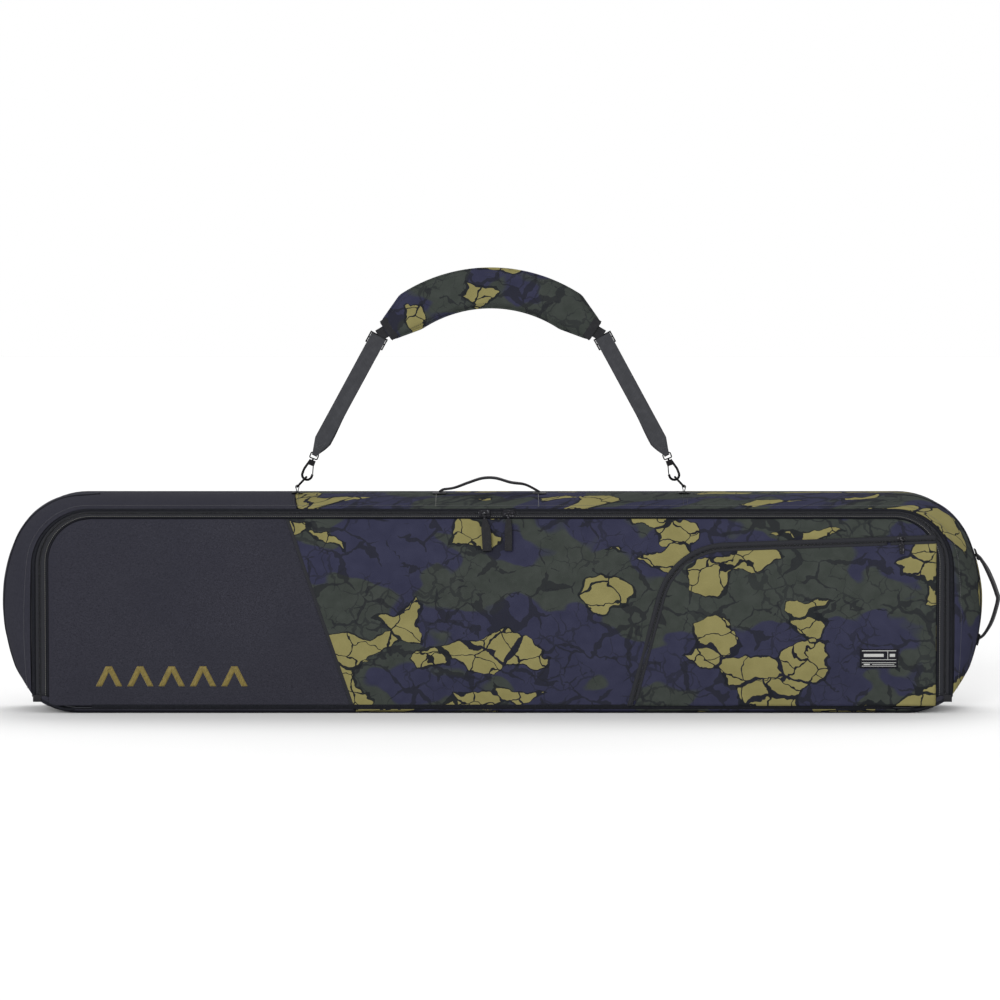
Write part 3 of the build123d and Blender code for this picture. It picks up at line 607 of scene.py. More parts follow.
def wall_rows(inset, slack):
    """Rows of points round the bag from the opening's edge to the back, with soft folds."""
    rows, uv_rows = [], []
    for r in range(WALL_ROWS + 1):
        y = FRONT_Y + 1 * MM + (WALL_BACK_Y - FRONT_Y - 1 * MM) * r / WALL_ROWS
        loop = whole_loop(mixed_side(wall_share(y), inset))
        along = lengths_along(loop)
        middle = sin(pi * r / WALL_ROWS)
        lift = 6 * MM * max(0.0, (-60 * MM - y) / (11 * MM)) ** 2
        row = []
        for x, z in loop:
            ripple = fold_noise(x, y * 0.6, z, 9, 3.0) + 0.5 * fold_noise(x, y, z, 31, 7.0)
            push = slack * middle * ripple
            out = Vector((x / HALF_LENGTH * 0.5 if abs(x) < 0.6 else x / abs(x), (z - half_height) / half_height))
            out.normalize()
            if z < 20 * MM and abs(x) < 0.68:
                push = 0
                out = Vector((0, 1))
            elif z > half_height:
                push -= 1.3 * MM * max(max(0.0, 1 - abs(x - seam) / (7 * MM)) ** 2 for seam in CROSS_SEAMS)
            px, pz = x + out[0] * push, z + out[1] * push
            if z < half_height:
                pz = max(pz, lift)
            row.append((px, y, pz))
        rows.append(row)
        uv_rows.append([(a, y) for a in along])
    return rows, uv_rows


def wall_piece(name, inside, inset=0.0, slack=1.6 * MM):
    """The part of the wall whose cells' first corners satisfy inside(x, z)."""
    rows, uv_rows = wall_rows(inset, slack)
    width = len(rows[0])

    def keep(r, c):
        x = (rows[r][c][0] + rows[r][(c + 1) % width][0]) / 2
        return inside(x, rows[r][c][2])

    return add_grid(name, rows, uv_rows, keep, closed=True)


def is_nose(x, z):
    return x < (NOSE_SEAM_X if z > half_height else BOTTOM_SEAM_X) and not is_bottom(x, z)


def is_bottom(x, z):
    return z < 12 * MM and BOTTOM_SEAM_X <= x < BOTTOM_END_X


def is_printed(x, z):
    return not is_nose(x, z) and not is_bottom(x, z)


def walls():
    for name, inside, material, slot, nodes in (
        ("wall_nose", is_nose, black, "shell_black", ("nose_fabric", "nose_foam")),
        ("wall_print", is_printed, printed, "shell_print", ("top_fabric", "top_foam", "tail_fabric", "tail_foam")),
        ("wall_bottom", is_bottom, printed, "shell_black", ("bottom_fabric", "bottom_foam")),
    ):
        piece = dress(wall_piece(name, inside), material, "bag", slot, nodes)
        thicken(piece, CLOTH_T)
        subdivide(piece)
    inner = wall_piece("wall_lining", lambda x, z: True, inset=8.6 * MM, slack=0.8 * MM)
    dress(inner, lining, "bag", "lining", ("body_lining",))
    thicken(inner, LINING_T)


walls()


# ---------------------------------------------------------------- sweeps, strips and stitches
def width_at(side, z):
    """Half width of an outline at a height."""
    for (x0, z0), (x1, z1) in zip(side, side[1:]):
        if z0 <= z <= z1 and z1 > z0:
            return x0 + (x1 - x0) * (z - z0) / (z1 - z0)
    return side[0][0] if z < side[0][1] else side[-1][0]


def eased(i, count):
    """Even steps from 0 to 1 that close up towards both ends."""
    t = i / count
    return 0.5 * (t + 0.5 * (1 - cos(pi * t)))


PANEL_CORE = 0.6
PANEL_PITCH = 5 * MM


def panel(name, side, low, high, depth, keep=None, shear=None, count=72):
    """A cloth panel inside an outline; depth(x, z) says how far back each point lies."""
    core_steps = int(round(2 * PANEL_CORE / PANEL_PITCH))
    rows, uv_rows, flat = [], [], []
    for r in range(count + 1):
        z = low + (high - low) * eased(r, count)
        wide = width_at(side, z)
        xs = [-PANEL_CORE + PANEL_PITCH * i for i in range(core_steps + 1)]
        outer = [PANEL_CORE + (wide - PANEL_CORE) * sin(pi / 2 * k / 24) for k in range(1, 25)]
        flat = [-x for x in reversed(outer)] + xs + outer
        moved = [x + (shear(x, z) if shear else 0.0) for x in flat]
        rows.append([(x, depth(x, z), z) for x in moved])
        uv_rows.append([(x, z) for x in moved])
    mid = [-0.72 + 1.44 * (i + 0.5) / len(flat) for i in range(len(flat))]
    for i in range(24, len(flat) - 24):
        mid[i] = flat[i] + PANEL_PITCH / 2
    return add_grid(name, rows, uv_rows, (lambda r, c: keep(mid[c])) if keep else None)


def tangents(line, closed=False):
    last = len(line) - 1
    out = []
    for i in range(len(line)):
        a = line[i - 1] if i or closed else line[0]
        b = line[(i + 1) % len(line)] if i < last or closed else line[last]
        out.append((Vector(b) - Vector(a)).normalized())
    return out


def loft_rings(name, rings, along, closed=False):
    """A closed skin through rings of points."""
    size = len(rings[0])
    verts = [p for ring in rings for p in ring]
    faces = quads(len(rings), size, loop=closed)
    if not closed:
        faces.append(tuple(range(size)))
        faces.append(tuple(range((len(rings) - 1) * size, len(rings) * size)))
    uvs = []
    for a, ring in zip(along, rings):
        girth = 0.0
        for c, p in enumerate(ring):
            uvs.append((a, girth))
            girth += (Vector(ring[(c + 1) % size]) - Vector(p)).length
    obj = add_mesh(name, verts, faces, uvs)
    drop_loose(obj)
    return obj


def run_lengths(line):
    out = [0.0]
    for a, b in zip(line, line[1:]):
        out.append(out[-1] + (Vector(b) - Vector(a)).length)
    return out


def tube(name, line, radius, sides=8, closed=False, across=(0, 1, 0)):
    """A round cord along a line that stays square to across."""
    rings = []
    for p, t in zip(line, tangents(line, closed)):
        a = Vector(across)
        n = t.cross(a).normalized()
        b = n.cross(t)
        rings.append([
            Vector(p) + n * radius * cos(2 * pi * k / sides) + b * radius * sin(2 * pi * k / sides)
            for k in range(sides)
        ])
    return loft_rings(name, rings, run_lengths(line), closed)


def whole_section(half):
    """A closed section from its upper half, which is turned round for the lower one."""
    return half + [(-u, -v) for u, v in half]


STRAP_SECTION = whole_section(
    [(-0.5, 0.0), (-0.495, 0.4), (-0.46, 0.5), (-0.25, 0.46), (0.0, 0.5), (0.25, 0.46), (0.46, 0.5), (0.495, 0.4)]
)


def strap(name, line, widths, thickness, across=(0, 1, 0)):
    """Flat webbing along a line: widths has one value for each point."""
    rings = []
    for p, t, w in zip(line, tangents(line), widths):
        a = Vector(across)
        a = (a - t * a.dot(t)).normalized()
        n = t.cross(a)
        rings.append([Vector(p) + a * u * w + n * v * thickness for u, v in STRAP_SECTION])
    return loft_rings(name, rings, run_lengths(line))


def spaced(line, step):
    """(point, tangent) pairs at equal steps along a line."""
    marks = run_lengths(line)
    count = max(int(marks[-1] / step), 1)
    out, i = [], 0
    for k in range(count + 1):
        at = marks[-1] * k / count
        while i < len(line) - 2 and marks[i + 1] < at:
            i += 1
        span = marks[i + 1] - marks[i]
        a, b = Vector(line[i]), Vector(line[i + 1])
        out.append((a.lerp(b, (at - marks[i]) / span if span else 0.0), (b - a).normalized()))
    return out


def smooth_line(points, step=3 * MM):
    """A rounded line through a few points."""
    pts = [Vector(points[0])] + [Vector(p) for p in points] + [Vector(points[-1])]
    line = []
    for i in range(1, len(pts) - 2):
        p0, p1, p2, p3 = pts[i - 1:i + 3]
        count = max(int((p2 - p1).length / step), 2)
        for k in range(count):
            t = k / count
            line.append(0.5 * (
                2 * p1 + (p2 - p0) * t + (2 * p0 - 5 * p1 + 4 * p2 - p3) * t * t
                + (3 * p1 - p0 - 3 * p2 + p3) * t**3
            ))
    line.append(pts[-2])
    return line


def stitches(name, lines, material, body, slot, pitch=3.4 * MM, length=2.3 * MM, radius=0.32 * MM, face=(0, -1, 0)):
    """Rows of sewn stitches: small rounded threads, half sunk in the cloth."""
    verts, faces = [], []
    for line in lines:
        for p, t in spaced(line, pitch):
            up = Vector(face)
            up = (up - t * up.dot(t)).normalized()
            side = t.cross(up)
            base = len(verts)
            for shift, size, rise in ((-0.5, 0.25, -0.4), (-0.28, 0.9, 0.3), (0.28, 0.9, 0.3), (0.5, 0.25, -0.4)):
                centre = p + t * shift * length + up * rise * radius
                for k in range(6):
                    angle = 2 * pi * k / 6
                    verts.append(centre + (side * cos(angle) + up * sin(angle)) * radius * size)
            faces += quads(4, 6, base=base)
            faces.append(tuple(base + k for k in range(6)))
            faces.append(tuple(base + 18 + k for k in range(6)))
    obj = add_mesh(name, verts, faces, [(0.0, 0.0)] * len(verts))
    drop_loose(obj)
    return dress(obj, material, body, slot)


def coil_row(name, line, offset, reach, pitch, body, replaced):
    """Nylon zip coil: a helix beside the line, offset towards one tape."""
    wire, turn_steps, sides = 0.42 * MM, 8, 5
    verts, centre = [], []
    for p, t in spaced(line, pitch / turn_steps):
        side = t.cross(Vector((0, 1, 0)))
        angle = 2 * pi * len(centre) / turn_steps
        centre.append(p + side * (offset + reach * cos(angle)) + Vector((0, -1, 0)) * 1.1 * MM * sin(angle))
    for p, t in zip(centre, tangents(centre)):
        n = t.cross(Vector((0, 1, 0.3))).normalized()
        b = n.cross(t)
        verts += [p + (n * cos(2 * pi * k / sides) + b * sin(2 * pi * k / sides)) * wire for k in range(sides)]
    obj = add_mesh(name, verts, quads(len(centre), sides), [(v[0], v[2]) for v in verts])
    return dress(obj, coil, body, "zip_coil", replaced)


def band(name, lines, depths, material, body, slot, replaced=()):
    """A strip of tape between lines in the front plane, each at its own depth."""
    rows = [[(x, y, z) for x, z in line] for line, y in zip(lines, depths)]
    along = lengths_along(lines[0])
    uv_rows = [[(a, 0.004 * i) for a in along] for i in range(len(lines))]
    obj = add_grid(name, rows, uv_rows)
    dress(obj, material, body, slot, replaced)
    thicken(obj, TAPE_T, 0.0)
    return obj


# ---------------------------------------------------------------- lid
LID_SIDE = front_side(1.0, 2.4 * MM)
LID_TOP = LID_SIDE[-1][1]
SEAM_MID_X, SEAM_MID_Z = (SEAM_TOP_X + SEAM_FOOT_X) / 2, SEAM_TOP_Z / 2
SEAM_SLOPE = (SEAM_TOP_X - SEAM_FOOT_X) / SEAM_TOP_Z
POCKET_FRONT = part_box("pocket_mouth")[0][1]


def seam_x(z):
    return SEAM_MID_X + SEAM_SLOPE * (z - SEAM_MID_Z)


def lid_depth(x, z):
    """Outer face of the lid: crowned over its foam, pulled in at the slanting seam."""
    edge = min(width_at(LID_SIDE, z) - abs(x), LID_TOP - z, (z - LID_FOOT) * 1.3)
    rise = 5.0 * MM * smooth_step(-8 * MM, 110 * MM, edge)
    folds = 0.9 * MM * fold_noise(x, 0, z, 6.5, 2.0) + 0.45 * MM * fold_noise(x, 0, z * 1.6, 19, 5.0)
    folds += 0.5 * MM * fold_noise(x * 0.5, 0, z * 2.2, 33, 9.0) * smooth_step(0.05, 0.0, edge)
    rise += folds * smooth_step(0, 30 * MM, edge)
    rise *= 1 - 0.9 * smooth_step(215 * MM, 300 * MM, x)
    near_pull = smooth_step(70 * MM, 20 * MM, abs(x - 6 * MM)) * smooth_step(235 * MM, 270 * MM, z)
    rise *= 1 - 0.6 * near_pull
    dip = 1.1 * MM * max(0.0, 1 - abs(x - seam_x(z)) / (9 * MM)) ** 2
    return FRONT_Y - rise + dip


def lid_shear(x, z):
    return SEAM_SLOPE * (z - SEAM_MID_Z) * smooth_step(170 * MM, 0, abs(x - SEAM_MID_X))


def lid_panels():
    nose = panel("lid_nose_cloth", LID_SIDE, LID_FOOT, LID_TOP, lid_depth, lambda x: x < SEAM_MID_X, lid_shear)
    rest = panel("lid_print_cloth", LID_SIDE, LID_FOOT, LID_TOP, lid_depth, lambda x: x >= SEAM_MID_X, lid_shear)
    dress(nose, black_flat, "lid", "shell_black", ("lid_nose_fabric", "lid_foam"))
    dress(rest, printed_flat, "lid", "shell_print", ("lid_print_fabric",))
    for piece in (nose, rest):
        thicken(piece, CLOTH_T)
    inner = panel("lid_inner", LID_SIDE, LID_FOOT + 5 * MM, LID_TOP,
                  lambda x, z: FRONT_Y + 8.6 * MM + 0.6 * MM * fold_noise(x, 0, z, 12, 4.0))
    dress(inner, lining, "lid", "lining", ("lid_lining",))
    thicken(inner, LINING_T, 0.0)
    heights = [LID_FOOT + (LID_TOP - LID_FOOT) * i / 80 for i in range(81)]
    profile = ((-3.2, 0.5), (-2.6, -0.4), (0.0, -0.7), (2.6, -0.4), (3.2, 0.5))
    rows = [[(seam_x(z) + o * MM, lid_depth(seam_x(z), z) + d * MM, z) for z in heights] for o, d in profile]
    tape = add_grid("lid_seam_binding", rows, [[(z, o * MM) for z in heights] for o, d in profile])
    dress(tape, tape_cloth, "lid", "zip_tape", ("lid_seam_tape",))
    thicken(tape, 0.6 * MM, 0.0)
    rows = [
        [(seam_x(z) + s, lid_depth(seam_x(z), z) - 0.55 * MM, z) for z in heights[1:-1]]
        for s in (-1.9 * MM, 1.9 * MM)
    ]
    stitches("lid_seam_stitches", rows, dark_thread, "lid", "zip_tape")


lid_panels()


# ---------------------------------------------------------------- main zip round the opening
def zip_band():
    def strip(name, shape, material, body, slot, nodes):
        lines, depths = zip(*[(opening_line(s), FRONT_Y + d * MM) for s, d in shape])
        band(name, lines, depths, material, body, slot, nodes)

    strip("opening_piping", ((-0.04, 2.2), (-0.02, 0.2), (0.05, -0.8), (0.13, -0.8), (0.2, 0.4), (0.21, 2.0)),
          black_edge, "bag", "zip_tape", ("opening_binding",))
    strip("wall_zip_tape", ((0.19, 1.6), (0.3, 1.2), (0.4, 1.3), (0.485, 2.0)), tape_cloth, "bag", "zip_tape",
          ("gusset_zip_tape",))
    strip("lid_zip_edge", ((0.515, 2.0), (0.6, 1.3), (0.8, 1.2), (0.95, 1.6)), tape_cloth, "lid", "zip_tape",
          ("lid_zip_tape",))
    strip("lid_edge_piping", ((0.95, 2.0), (0.955, 0.2), (0.99, -1.0), (1.04, -1.1), (1.09, 0.0), (1.1, 1.6)),
          black_edge, "lid", "zip_tape", ("lid_piping",))
    middle = [(x, FRONT_Y + 0.9 * MM, z) for x, z in opening_line(0.5)]
    coil_row("wall_coil", middle, 1.15 * MM, 1.0 * MM, 2.2 * MM, "bag", ("gusset_zip_coil",))
    coil_row("lid_coil", middle, -1.15 * MM, 1.0 * MM, 2.2 * MM, "lid", ("lid_zip_coil",))
    rows = [[(x, FRONT_Y + 1.05 * MM, z) for x, z in opening_line(0.26)]]
    stitches("wall_tape_stitches", rows, dark_thread, "bag", "zip_tape")
    rows = [[(x, FRONT_Y + 1.0 * MM, z) for x, z in opening_line(0.87)]]
    stitches("lid_tape_stitches", rows, pale_thread, "lid", "zip_tape", radius=0.42 * MM)


zip_band()


PATCH_START_X = 0.7215


def rim_and_hinge():
    """Piping along the bottom, the strip behind it, and the soft fold that the lid turns on."""
    reach = line_points((-0.662, 0), (0.662, 0), 160)
    cord = [(x, -67.5 * MM + 0.25 * MM * fold_noise(x, 0, 0, 30, 1.0), 8.6 * MM) for x, _ in reach]
    side = front_side(0.0, 3.4 * MM)[:CORNER_STEPS + 1]
    corner = []
    for x, z in side[1:]:
        y = -67.5 * MM - 2.4 * MM * smooth_step(0.668, 0.70, x)
        corner.append((x, y, max(z, 8.6 * MM - 3.2 * MM * smooth_step(0.672, 0.69, x))))
    line = [(-x, y, z) for x, y, z in reversed(corner)] + cord + corner
    welt = tube("bottom_piping", line, 2.6 * MM, 10)
    dress(welt, black_edge, "bag", "zip_tape", ("hinge_welt",))
    outer = front_side(0.0)[:CORNER_STEPS + 1]
    outer = [(-x, z) for x, z in reversed(outer)] + reach[:-1] + outer
    shape = ((0.5, -70.0), (0.6, -66.0), (2.0, -62.9), (16.0, -62.7))
    rows = [[(x, y * MM, z + i * MM) for x, z in outer] for i, y in shape]
    rim = add_grid("bottom_rim", rows, [[(p[0], i * MM) for p in row] for row, (i, y) in zip(rows, shape)])
    dress(rim, black_edge, "bag", "shell_black")
    thicken(rim, 0.9 * MM, 0.0)
    fold = ((5.6, -69.2), (7.2, -70.6), (9.4, -71.3), (11.6, -71.9), (14.0, -72.5))
    xs = [0.652 * (i / 60 - 1) for i in range(121)]
    rows = [[(x, y * MM, z * MM) for x in xs] for z, y in fold]
    strip = add_grid("hinge_fold", rows, [[(x, z * MM) for x in xs] for z, y in fold])
    strip.data.materials.append(black_edge)
    thicken(strip, 0.7 * MM, 0.0)
    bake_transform(strip)
    for side_sign, label in ((-1, "nose"), (1, "tail")):
        rows = []
        shares = [i / 8 for i in range(9)]
        for z in [12.0 * MM + 16 * MM * s for s in shares]:
            wide = width_at(front_side(0.0), z) - PATCH_START_X
            rows.append([
                (side_sign * (PATCH_START_X + wide * s), FRONT_Y + (1.4 - 0.8 * sin(pi * s)) * MM, z) for s in shares
            ])
        patch = add_sheet("zip_foot_patch_" + label, rows)
        dress(patch, black_flat, "bag", "shell_black")
        thicken(patch, 0.9 * MM, 0.0)
        low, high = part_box("zip_end_tabs")
        middle = side_sign * (FRONT_HALF - 7 * MM)
        line = [(middle, FRONT_Y - 0.4 * MM, low[2] + 1 * MM), (middle, FRONT_Y - 1.6 * MM, low[2] + 3 * MM),
                (middle, FRONT_Y - 1.9 * MM, high[2] - 1 * MM), (middle, FRONT_Y - 0.4 * MM, high[2] + 3 * MM)]
        tab = strap("zip_tab_" + label, smooth_line(line, 1 * MM), [13 * MM] * 99, 1.6 * MM, (1, 0, 0))
        dress(tab, black_webbing, "bag", "webbing", ("zip_end_tabs",))


rim_and_hinge()


# ---------------------------------------------------------------- pocket
POCKET_CORNERS = ((227 * MM, 9 * MM), (296 * MM, 266.7 * MM), (712 * MM, 281.9 * MM))
POCKET_R = 110 * MM
POCKET_SHEET_EDGE = 720.6 * MM
ARC_STEPS = 24


def pocket_line(offset):
    """The pocket's zip line moved by offset towards the pocket, with its rounded corner."""
    (x0, z0), (x1, z1), (x2, z2) = POCKET_CORNERS
    first, second = atan2(z1 - z0, x1 - x0), atan2(z2 - z1, x2 - x1)
    a = (x0 + sin(first) * offset, z0 - cos(first) * offset)
    b = (x2 + sin(second) * offset, z2 - cos(second) * offset)
    turn, middle = (first - second) / 2, (first + second) / 2
    corner = (x1 + sin(middle) * offset / cos(turn), z1 - cos(middle) * offset / cos(turn))
    radius = POCKET_R - offset
    back = radius * sin(turn) / cos(turn)
    start = (corner[0] - cos(first) * back, corner[1] - sin(first) * back)
    centre = (start[0] + sin(first) * radius, start[1] - cos(first) * radius)
    foot = (a[0] + (LID_FOOT - a[1]) * (corner[0] - a[0]) / (corner[1] - a[1]), LID_FOOT)
    end = (POCKET_SHEET_EDGE, b[1] + (POCKET_SHEET_EDGE - b[0]) * sin(second) / cos(second))
    arc = arc_points(centre, radius, first + pi / 2, second + pi / 2, ARC_STEPS)
    return [foot] + line_points(foot, start, 40) + arc + line_points(arc[-1], end, 60)


def pocket_skin(x, z):
    """Front of the empty pocket: flat at its edges, with soft creases."""
    (x0, z0), (x1, z1), (x2, z2) = POCKET_CORNERS
    left = x0 + (z - z0) * (x1 - x0) / (z1 - z0)
    top = z1 + (x - x1) * (z2 - z1) / (x2 - x1)
    border = max(min(x - left, top - z, POCKET_SHEET_EDGE - x, (z - LID_FOOT) * 1.2) - 4 * MM, 0.0)
    puff = 4.0 * MM * smooth_step(0, 85 * MM, border)
    crease = 1.1 * MM * fold_noise(x, 0, z, 9, 12.0) + 0.6 * MM * fold_noise(x * 0.8, 0, z * 1.7, 24, 15.0)
    crease += 0.5 * MM * fold_noise(x * 1.5 + z, 0, z - 0.6 * x, 17, 18.0)
    return POCKET_FRONT - puff - crease * smooth_step(4 * MM, 40 * MM, border)


def pocket_sheet():
    line = pocket_line(4.0 * MM)
    split = 41 + ARC_STEPS // 2
    left, top = line[:split], line[split - 1:]
    columns, rows_count = 96, 60

    def pick(points, t):
        marks = lengths_along(points)
        at = marks[-1] * t
        for i in range(len(points) - 1):
            if marks[i + 1] >= at or i == len(points) - 2:
                f = (at - marks[i]) / (marks[i + 1] - marks[i])
                return Vector(points[i]).lerp(Vector(points[i + 1]), f)

    lefts = [pick(left, r / rows_count) for r in range(rows_count + 1)]
    tops = [pick(top, c / columns) for c in range(columns + 1)]
    corners = lefts[0], Vector((POCKET_SHEET_EDGE, LID_FOOT)), lefts[-1], tops[-1]
    rows = []
    for r in range(rows_count + 1):
        v = r / rows_count
        row = []
        for c in range(columns + 1):
            u = c / columns
            low = corners[0].lerp(corners[1], u)
            right = corners[1].lerp(corners[3], v)
            p = lefts[r] * (1 - u) + right * u + low * (1 - v) + tops[c] * v
            p -= (
                corners[0] * (1 - u) * (1 - v) + corners[1] * u * (1 - v)
                + corners[2] * (1 - u) * v + corners[3] * u * v
            )
            row.append((p[0], pocket_skin(p[0], p[1]), p[1]))
        rows.append(row)
    sheet = add_sheet("pocket_front", rows)
    sheet.data.materials.append(printed_pocket)
    thicken(sheet, 1.0 * MM)
    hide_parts("pocket_panel", "pocket_mouth")
    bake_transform(sheet)
    rows = [[(x, POCKET_FRONT + d * MM, z) for x, z in line_points((x, LID_FOOT), (x, 0.278), 40)]
            for x, d in ((POCKET_SHEET_EDGE - 0.3 * MM, 0.2), (POCKET_SHEET_EDGE, 3.0))]
    hem = add_grid("pocket_tail_hem", rows, [[(p[2], p[1]) for p in row] for row in rows])
    dress(hem, printed_pocket, "lid", "shell_print")
    thicken(hem, 0.8 * MM, 0.0)


def pocket_zip():
    shape = ((-8.2, 3.2), (-8.0, 0.4), (-6.8, -0.4), (-4.0, -0.3), (-1.6, 0.3), (-0.9, 1.0))
    band("pocket_zip_lid_side", [pocket_line(o * MM) for o, d in shape], [POCKET_FRONT + d * MM for o, d in shape],
         tape_cloth, "lid", "zip_tape", ("pocket_lid_tape",))
    shape = ((0.9, 1.0), (1.6, 0.3), (3.4, -0.4), (5.2, -0.3), (5.4, 0.6))
    lines = [pocket_line(o * MM) for o, d in shape]
    far = max(i for i, p in enumerate(lines[0]) if p[0] < 648 * MM)
    depths = [POCKET_FRONT + d * MM for o, d in shape]
    band("pocket_zip_mouth_side", [line[2:far] for line in lines], depths, tape_cloth, "pocket_mouth", "zip_tape",
         ("pocket_mouth_tape",))
    band("pocket_zip_tail_end", [line[far:] for line in lines], depths, tape_cloth, "lid", "zip_tape")
    middle = [(x, POCKET_FRONT + 0.7 * MM, z) for x, z in pocket_line(0.0)]
    coil_row("pocket_coil_lid", middle, 0.75 * MM, 0.7 * MM, 1.7 * MM, "lid", ())
    coil_row("pocket_coil_mouth", middle[2:far], -0.75 * MM, 0.7 * MM, 1.7 * MM, "pocket_mouth", ())
    rows = [[(x, POCKET_FRONT - 0.4 * MM, z) for x, z in pocket_line(-6.3 * MM)[2:]]]
    stitches("pocket_lid_stitches", rows, dark_thread, "lid", "zip_tape")
    rows = [[(x, POCKET_FRONT - 0.42 * MM, z) for x, z in pocket_line(4.2 * MM)[2:far]]]
    stitches("pocket_mouth_stitches", rows, dark_thread, "pocket_mouth", "zip_tape")


pocket_sheet()
pocket_zip()


# ---------------------------------------------------------------- label and badge
def label():
    """A woven label with plain bars."""
    low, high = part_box("woven_label")

    def plate(name, x0, x1, z0, z1, y, material, thickness):
        xs, zs = [x0 + (x1 - x0) * i / 12 for i in range(13)], [z0 + (z1 - z0) * i / 6 for i in range(7)]
        rows = [[(x, pocket_skin(x, z) - y, z) for x in xs] for z in zs]
        obj = dress(add_sheet(name, rows), material, "lid", "label")
        thicken(obj, thickness, 0.0)
        bevel(obj, 0.2 * MM)
        return obj

    base = plate("label_ground", low[0], high[0], low[2], high[2], 0.7 * MM, black_edge, 0.9 * MM)
    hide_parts("woven_label")
    wide, tall = high[0] - low[0], high[2] - low[2]
    bars = ((0.05, 0.95, 0.90, 0.94), (0.05, 0.95, 0.44, 0.47), (0.72, 0.735, 0.44, 0.92), (0.10, 0.62, 0.60, 0.76),
            (0.78, 0.92, 0.60, 0.76), (0.05, 0.95, 0.28, 0.31), (0.05, 0.95, 0.10, 0.13), (0.10, 0.26, 0.17, 0.24),
            (0.32, 0.90, 0.19, 0.22))
    for i, (x0, x1, z0, z1) in enumerate(bars):
        plate(f"label_bar_{i}", low[0] + wide * x0, low[0] + wide * x1, low[2] + tall * z0, low[2] + tall * z1,
              1.3 * MM, white_thread, 0.3 * MM)


def badge():
    """Raised satin-stitched ridge lines on the nose cloth."""
    low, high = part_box("badge")
    strokes, foot, tall = 5, low[2], high[2] - low[2]
    pitch = (high[0] - low[0] - 43 * MM) / (strokes - 1)
    verts, faces = [], []
    for s in range(strokes):
        x0 = low[0] + s * pitch
        for a, b in (((5, 0), (21.5, 1)), ((38, 0), (21.5, 1))):
            base = len(verts)
            for i in range(17):
                t = i / 16
                cx, cz = x0 + (a[0] + (b[0] - a[0]) * t) * MM, foot + tall * (a[1] + (b[1] - a[1]) * t)
                ends = min(1.0, 8 * (1 - abs(2 * t - 1)) + 0.35)
                for k in range(9):
                    u = k / 4 - 1
                    x = cx + u * 5.2 * MM
                    rise = 0.2 * MM + 0.95 * MM * sqrt(max(0.0, 1 - u * u)) * ends
                    verts.append((x, lid_depth(cx, cz) - rise + (0.5 * MM if k in (0, 8) else 0), cz))
            faces += quads(17, 9, ring=False, base=base)
    obj = add_mesh("ridge_badge", verts, faces, [(v[0], v[2]) for v in verts])
    drop_loose(obj)
    dress(obj, gold_thread, "lid", "badge_thread", ("badge",))
    thicken(obj, 0.4 * MM, 0.0)


label()
badge()


# ---------------------------------------------------------------- back
def back():
    side = wide_side(5.2 * MM)

    def depth(x, z):
        edge = min(width_at(side, z) - abs(x), side[-1][1] - z, z - side[0][1])
        rise = 6.0 * MM * smooth_step(-5 * MM, 110 * MM, edge)
        folds = 2.2 * MM * fold_noise(x, 0, z, 6, 21.0) + 0.9 * MM * fold_noise(x * 0.6, 0, z * 1.5, 19, 23.0)
        return BACK_Y - 2 * MM + rise + folds * smooth_step(0, 40 * MM, edge)

    cover = panel("back_cover", side, side[0][1], side[-1][1], depth)
    dress(cover, black_back, "bag", "shell_black", ("back_fabric", "back_foam"))
    thicken(cover, CLOTH_T)
    inner = panel("back_inner", side, side[0][1], side[-1][1],
                  lambda x, z: BACK_Y - 9.4 * MM + 0.6 * MM * fold_noise(x, 0, z, 12, 6.0))
    dress(inner, lining, "bag", "lining")
    thicken(inner, LINING_T, 0.0)
    line = [(x, BACK_Y - 5.0 * MM, z) for x, z in whole_loop(wide_side(3.0 * MM))]
    welt = tube("back_piping", line, 2.8 * MM, 10, closed=True)
    dress(welt, black_edge, "bag", "zip_tape", ("back_welt",))
    inside = wide_side(16 * MM)
    row = [(x, depth(x, z) + 0.2 * MM, z) for x, z in whole_loop(inside)]
    stitches("back_stitches", [row + row[:1]], grey_thread, "bag", "shell_black", pitch=5 * MM, length=3.4 * MM,
             radius=0.5 * MM, face=(0, 1, 0))


END_PIPING_SHARE, EDGE_STITCH_SHARE = 0.9, 0.26


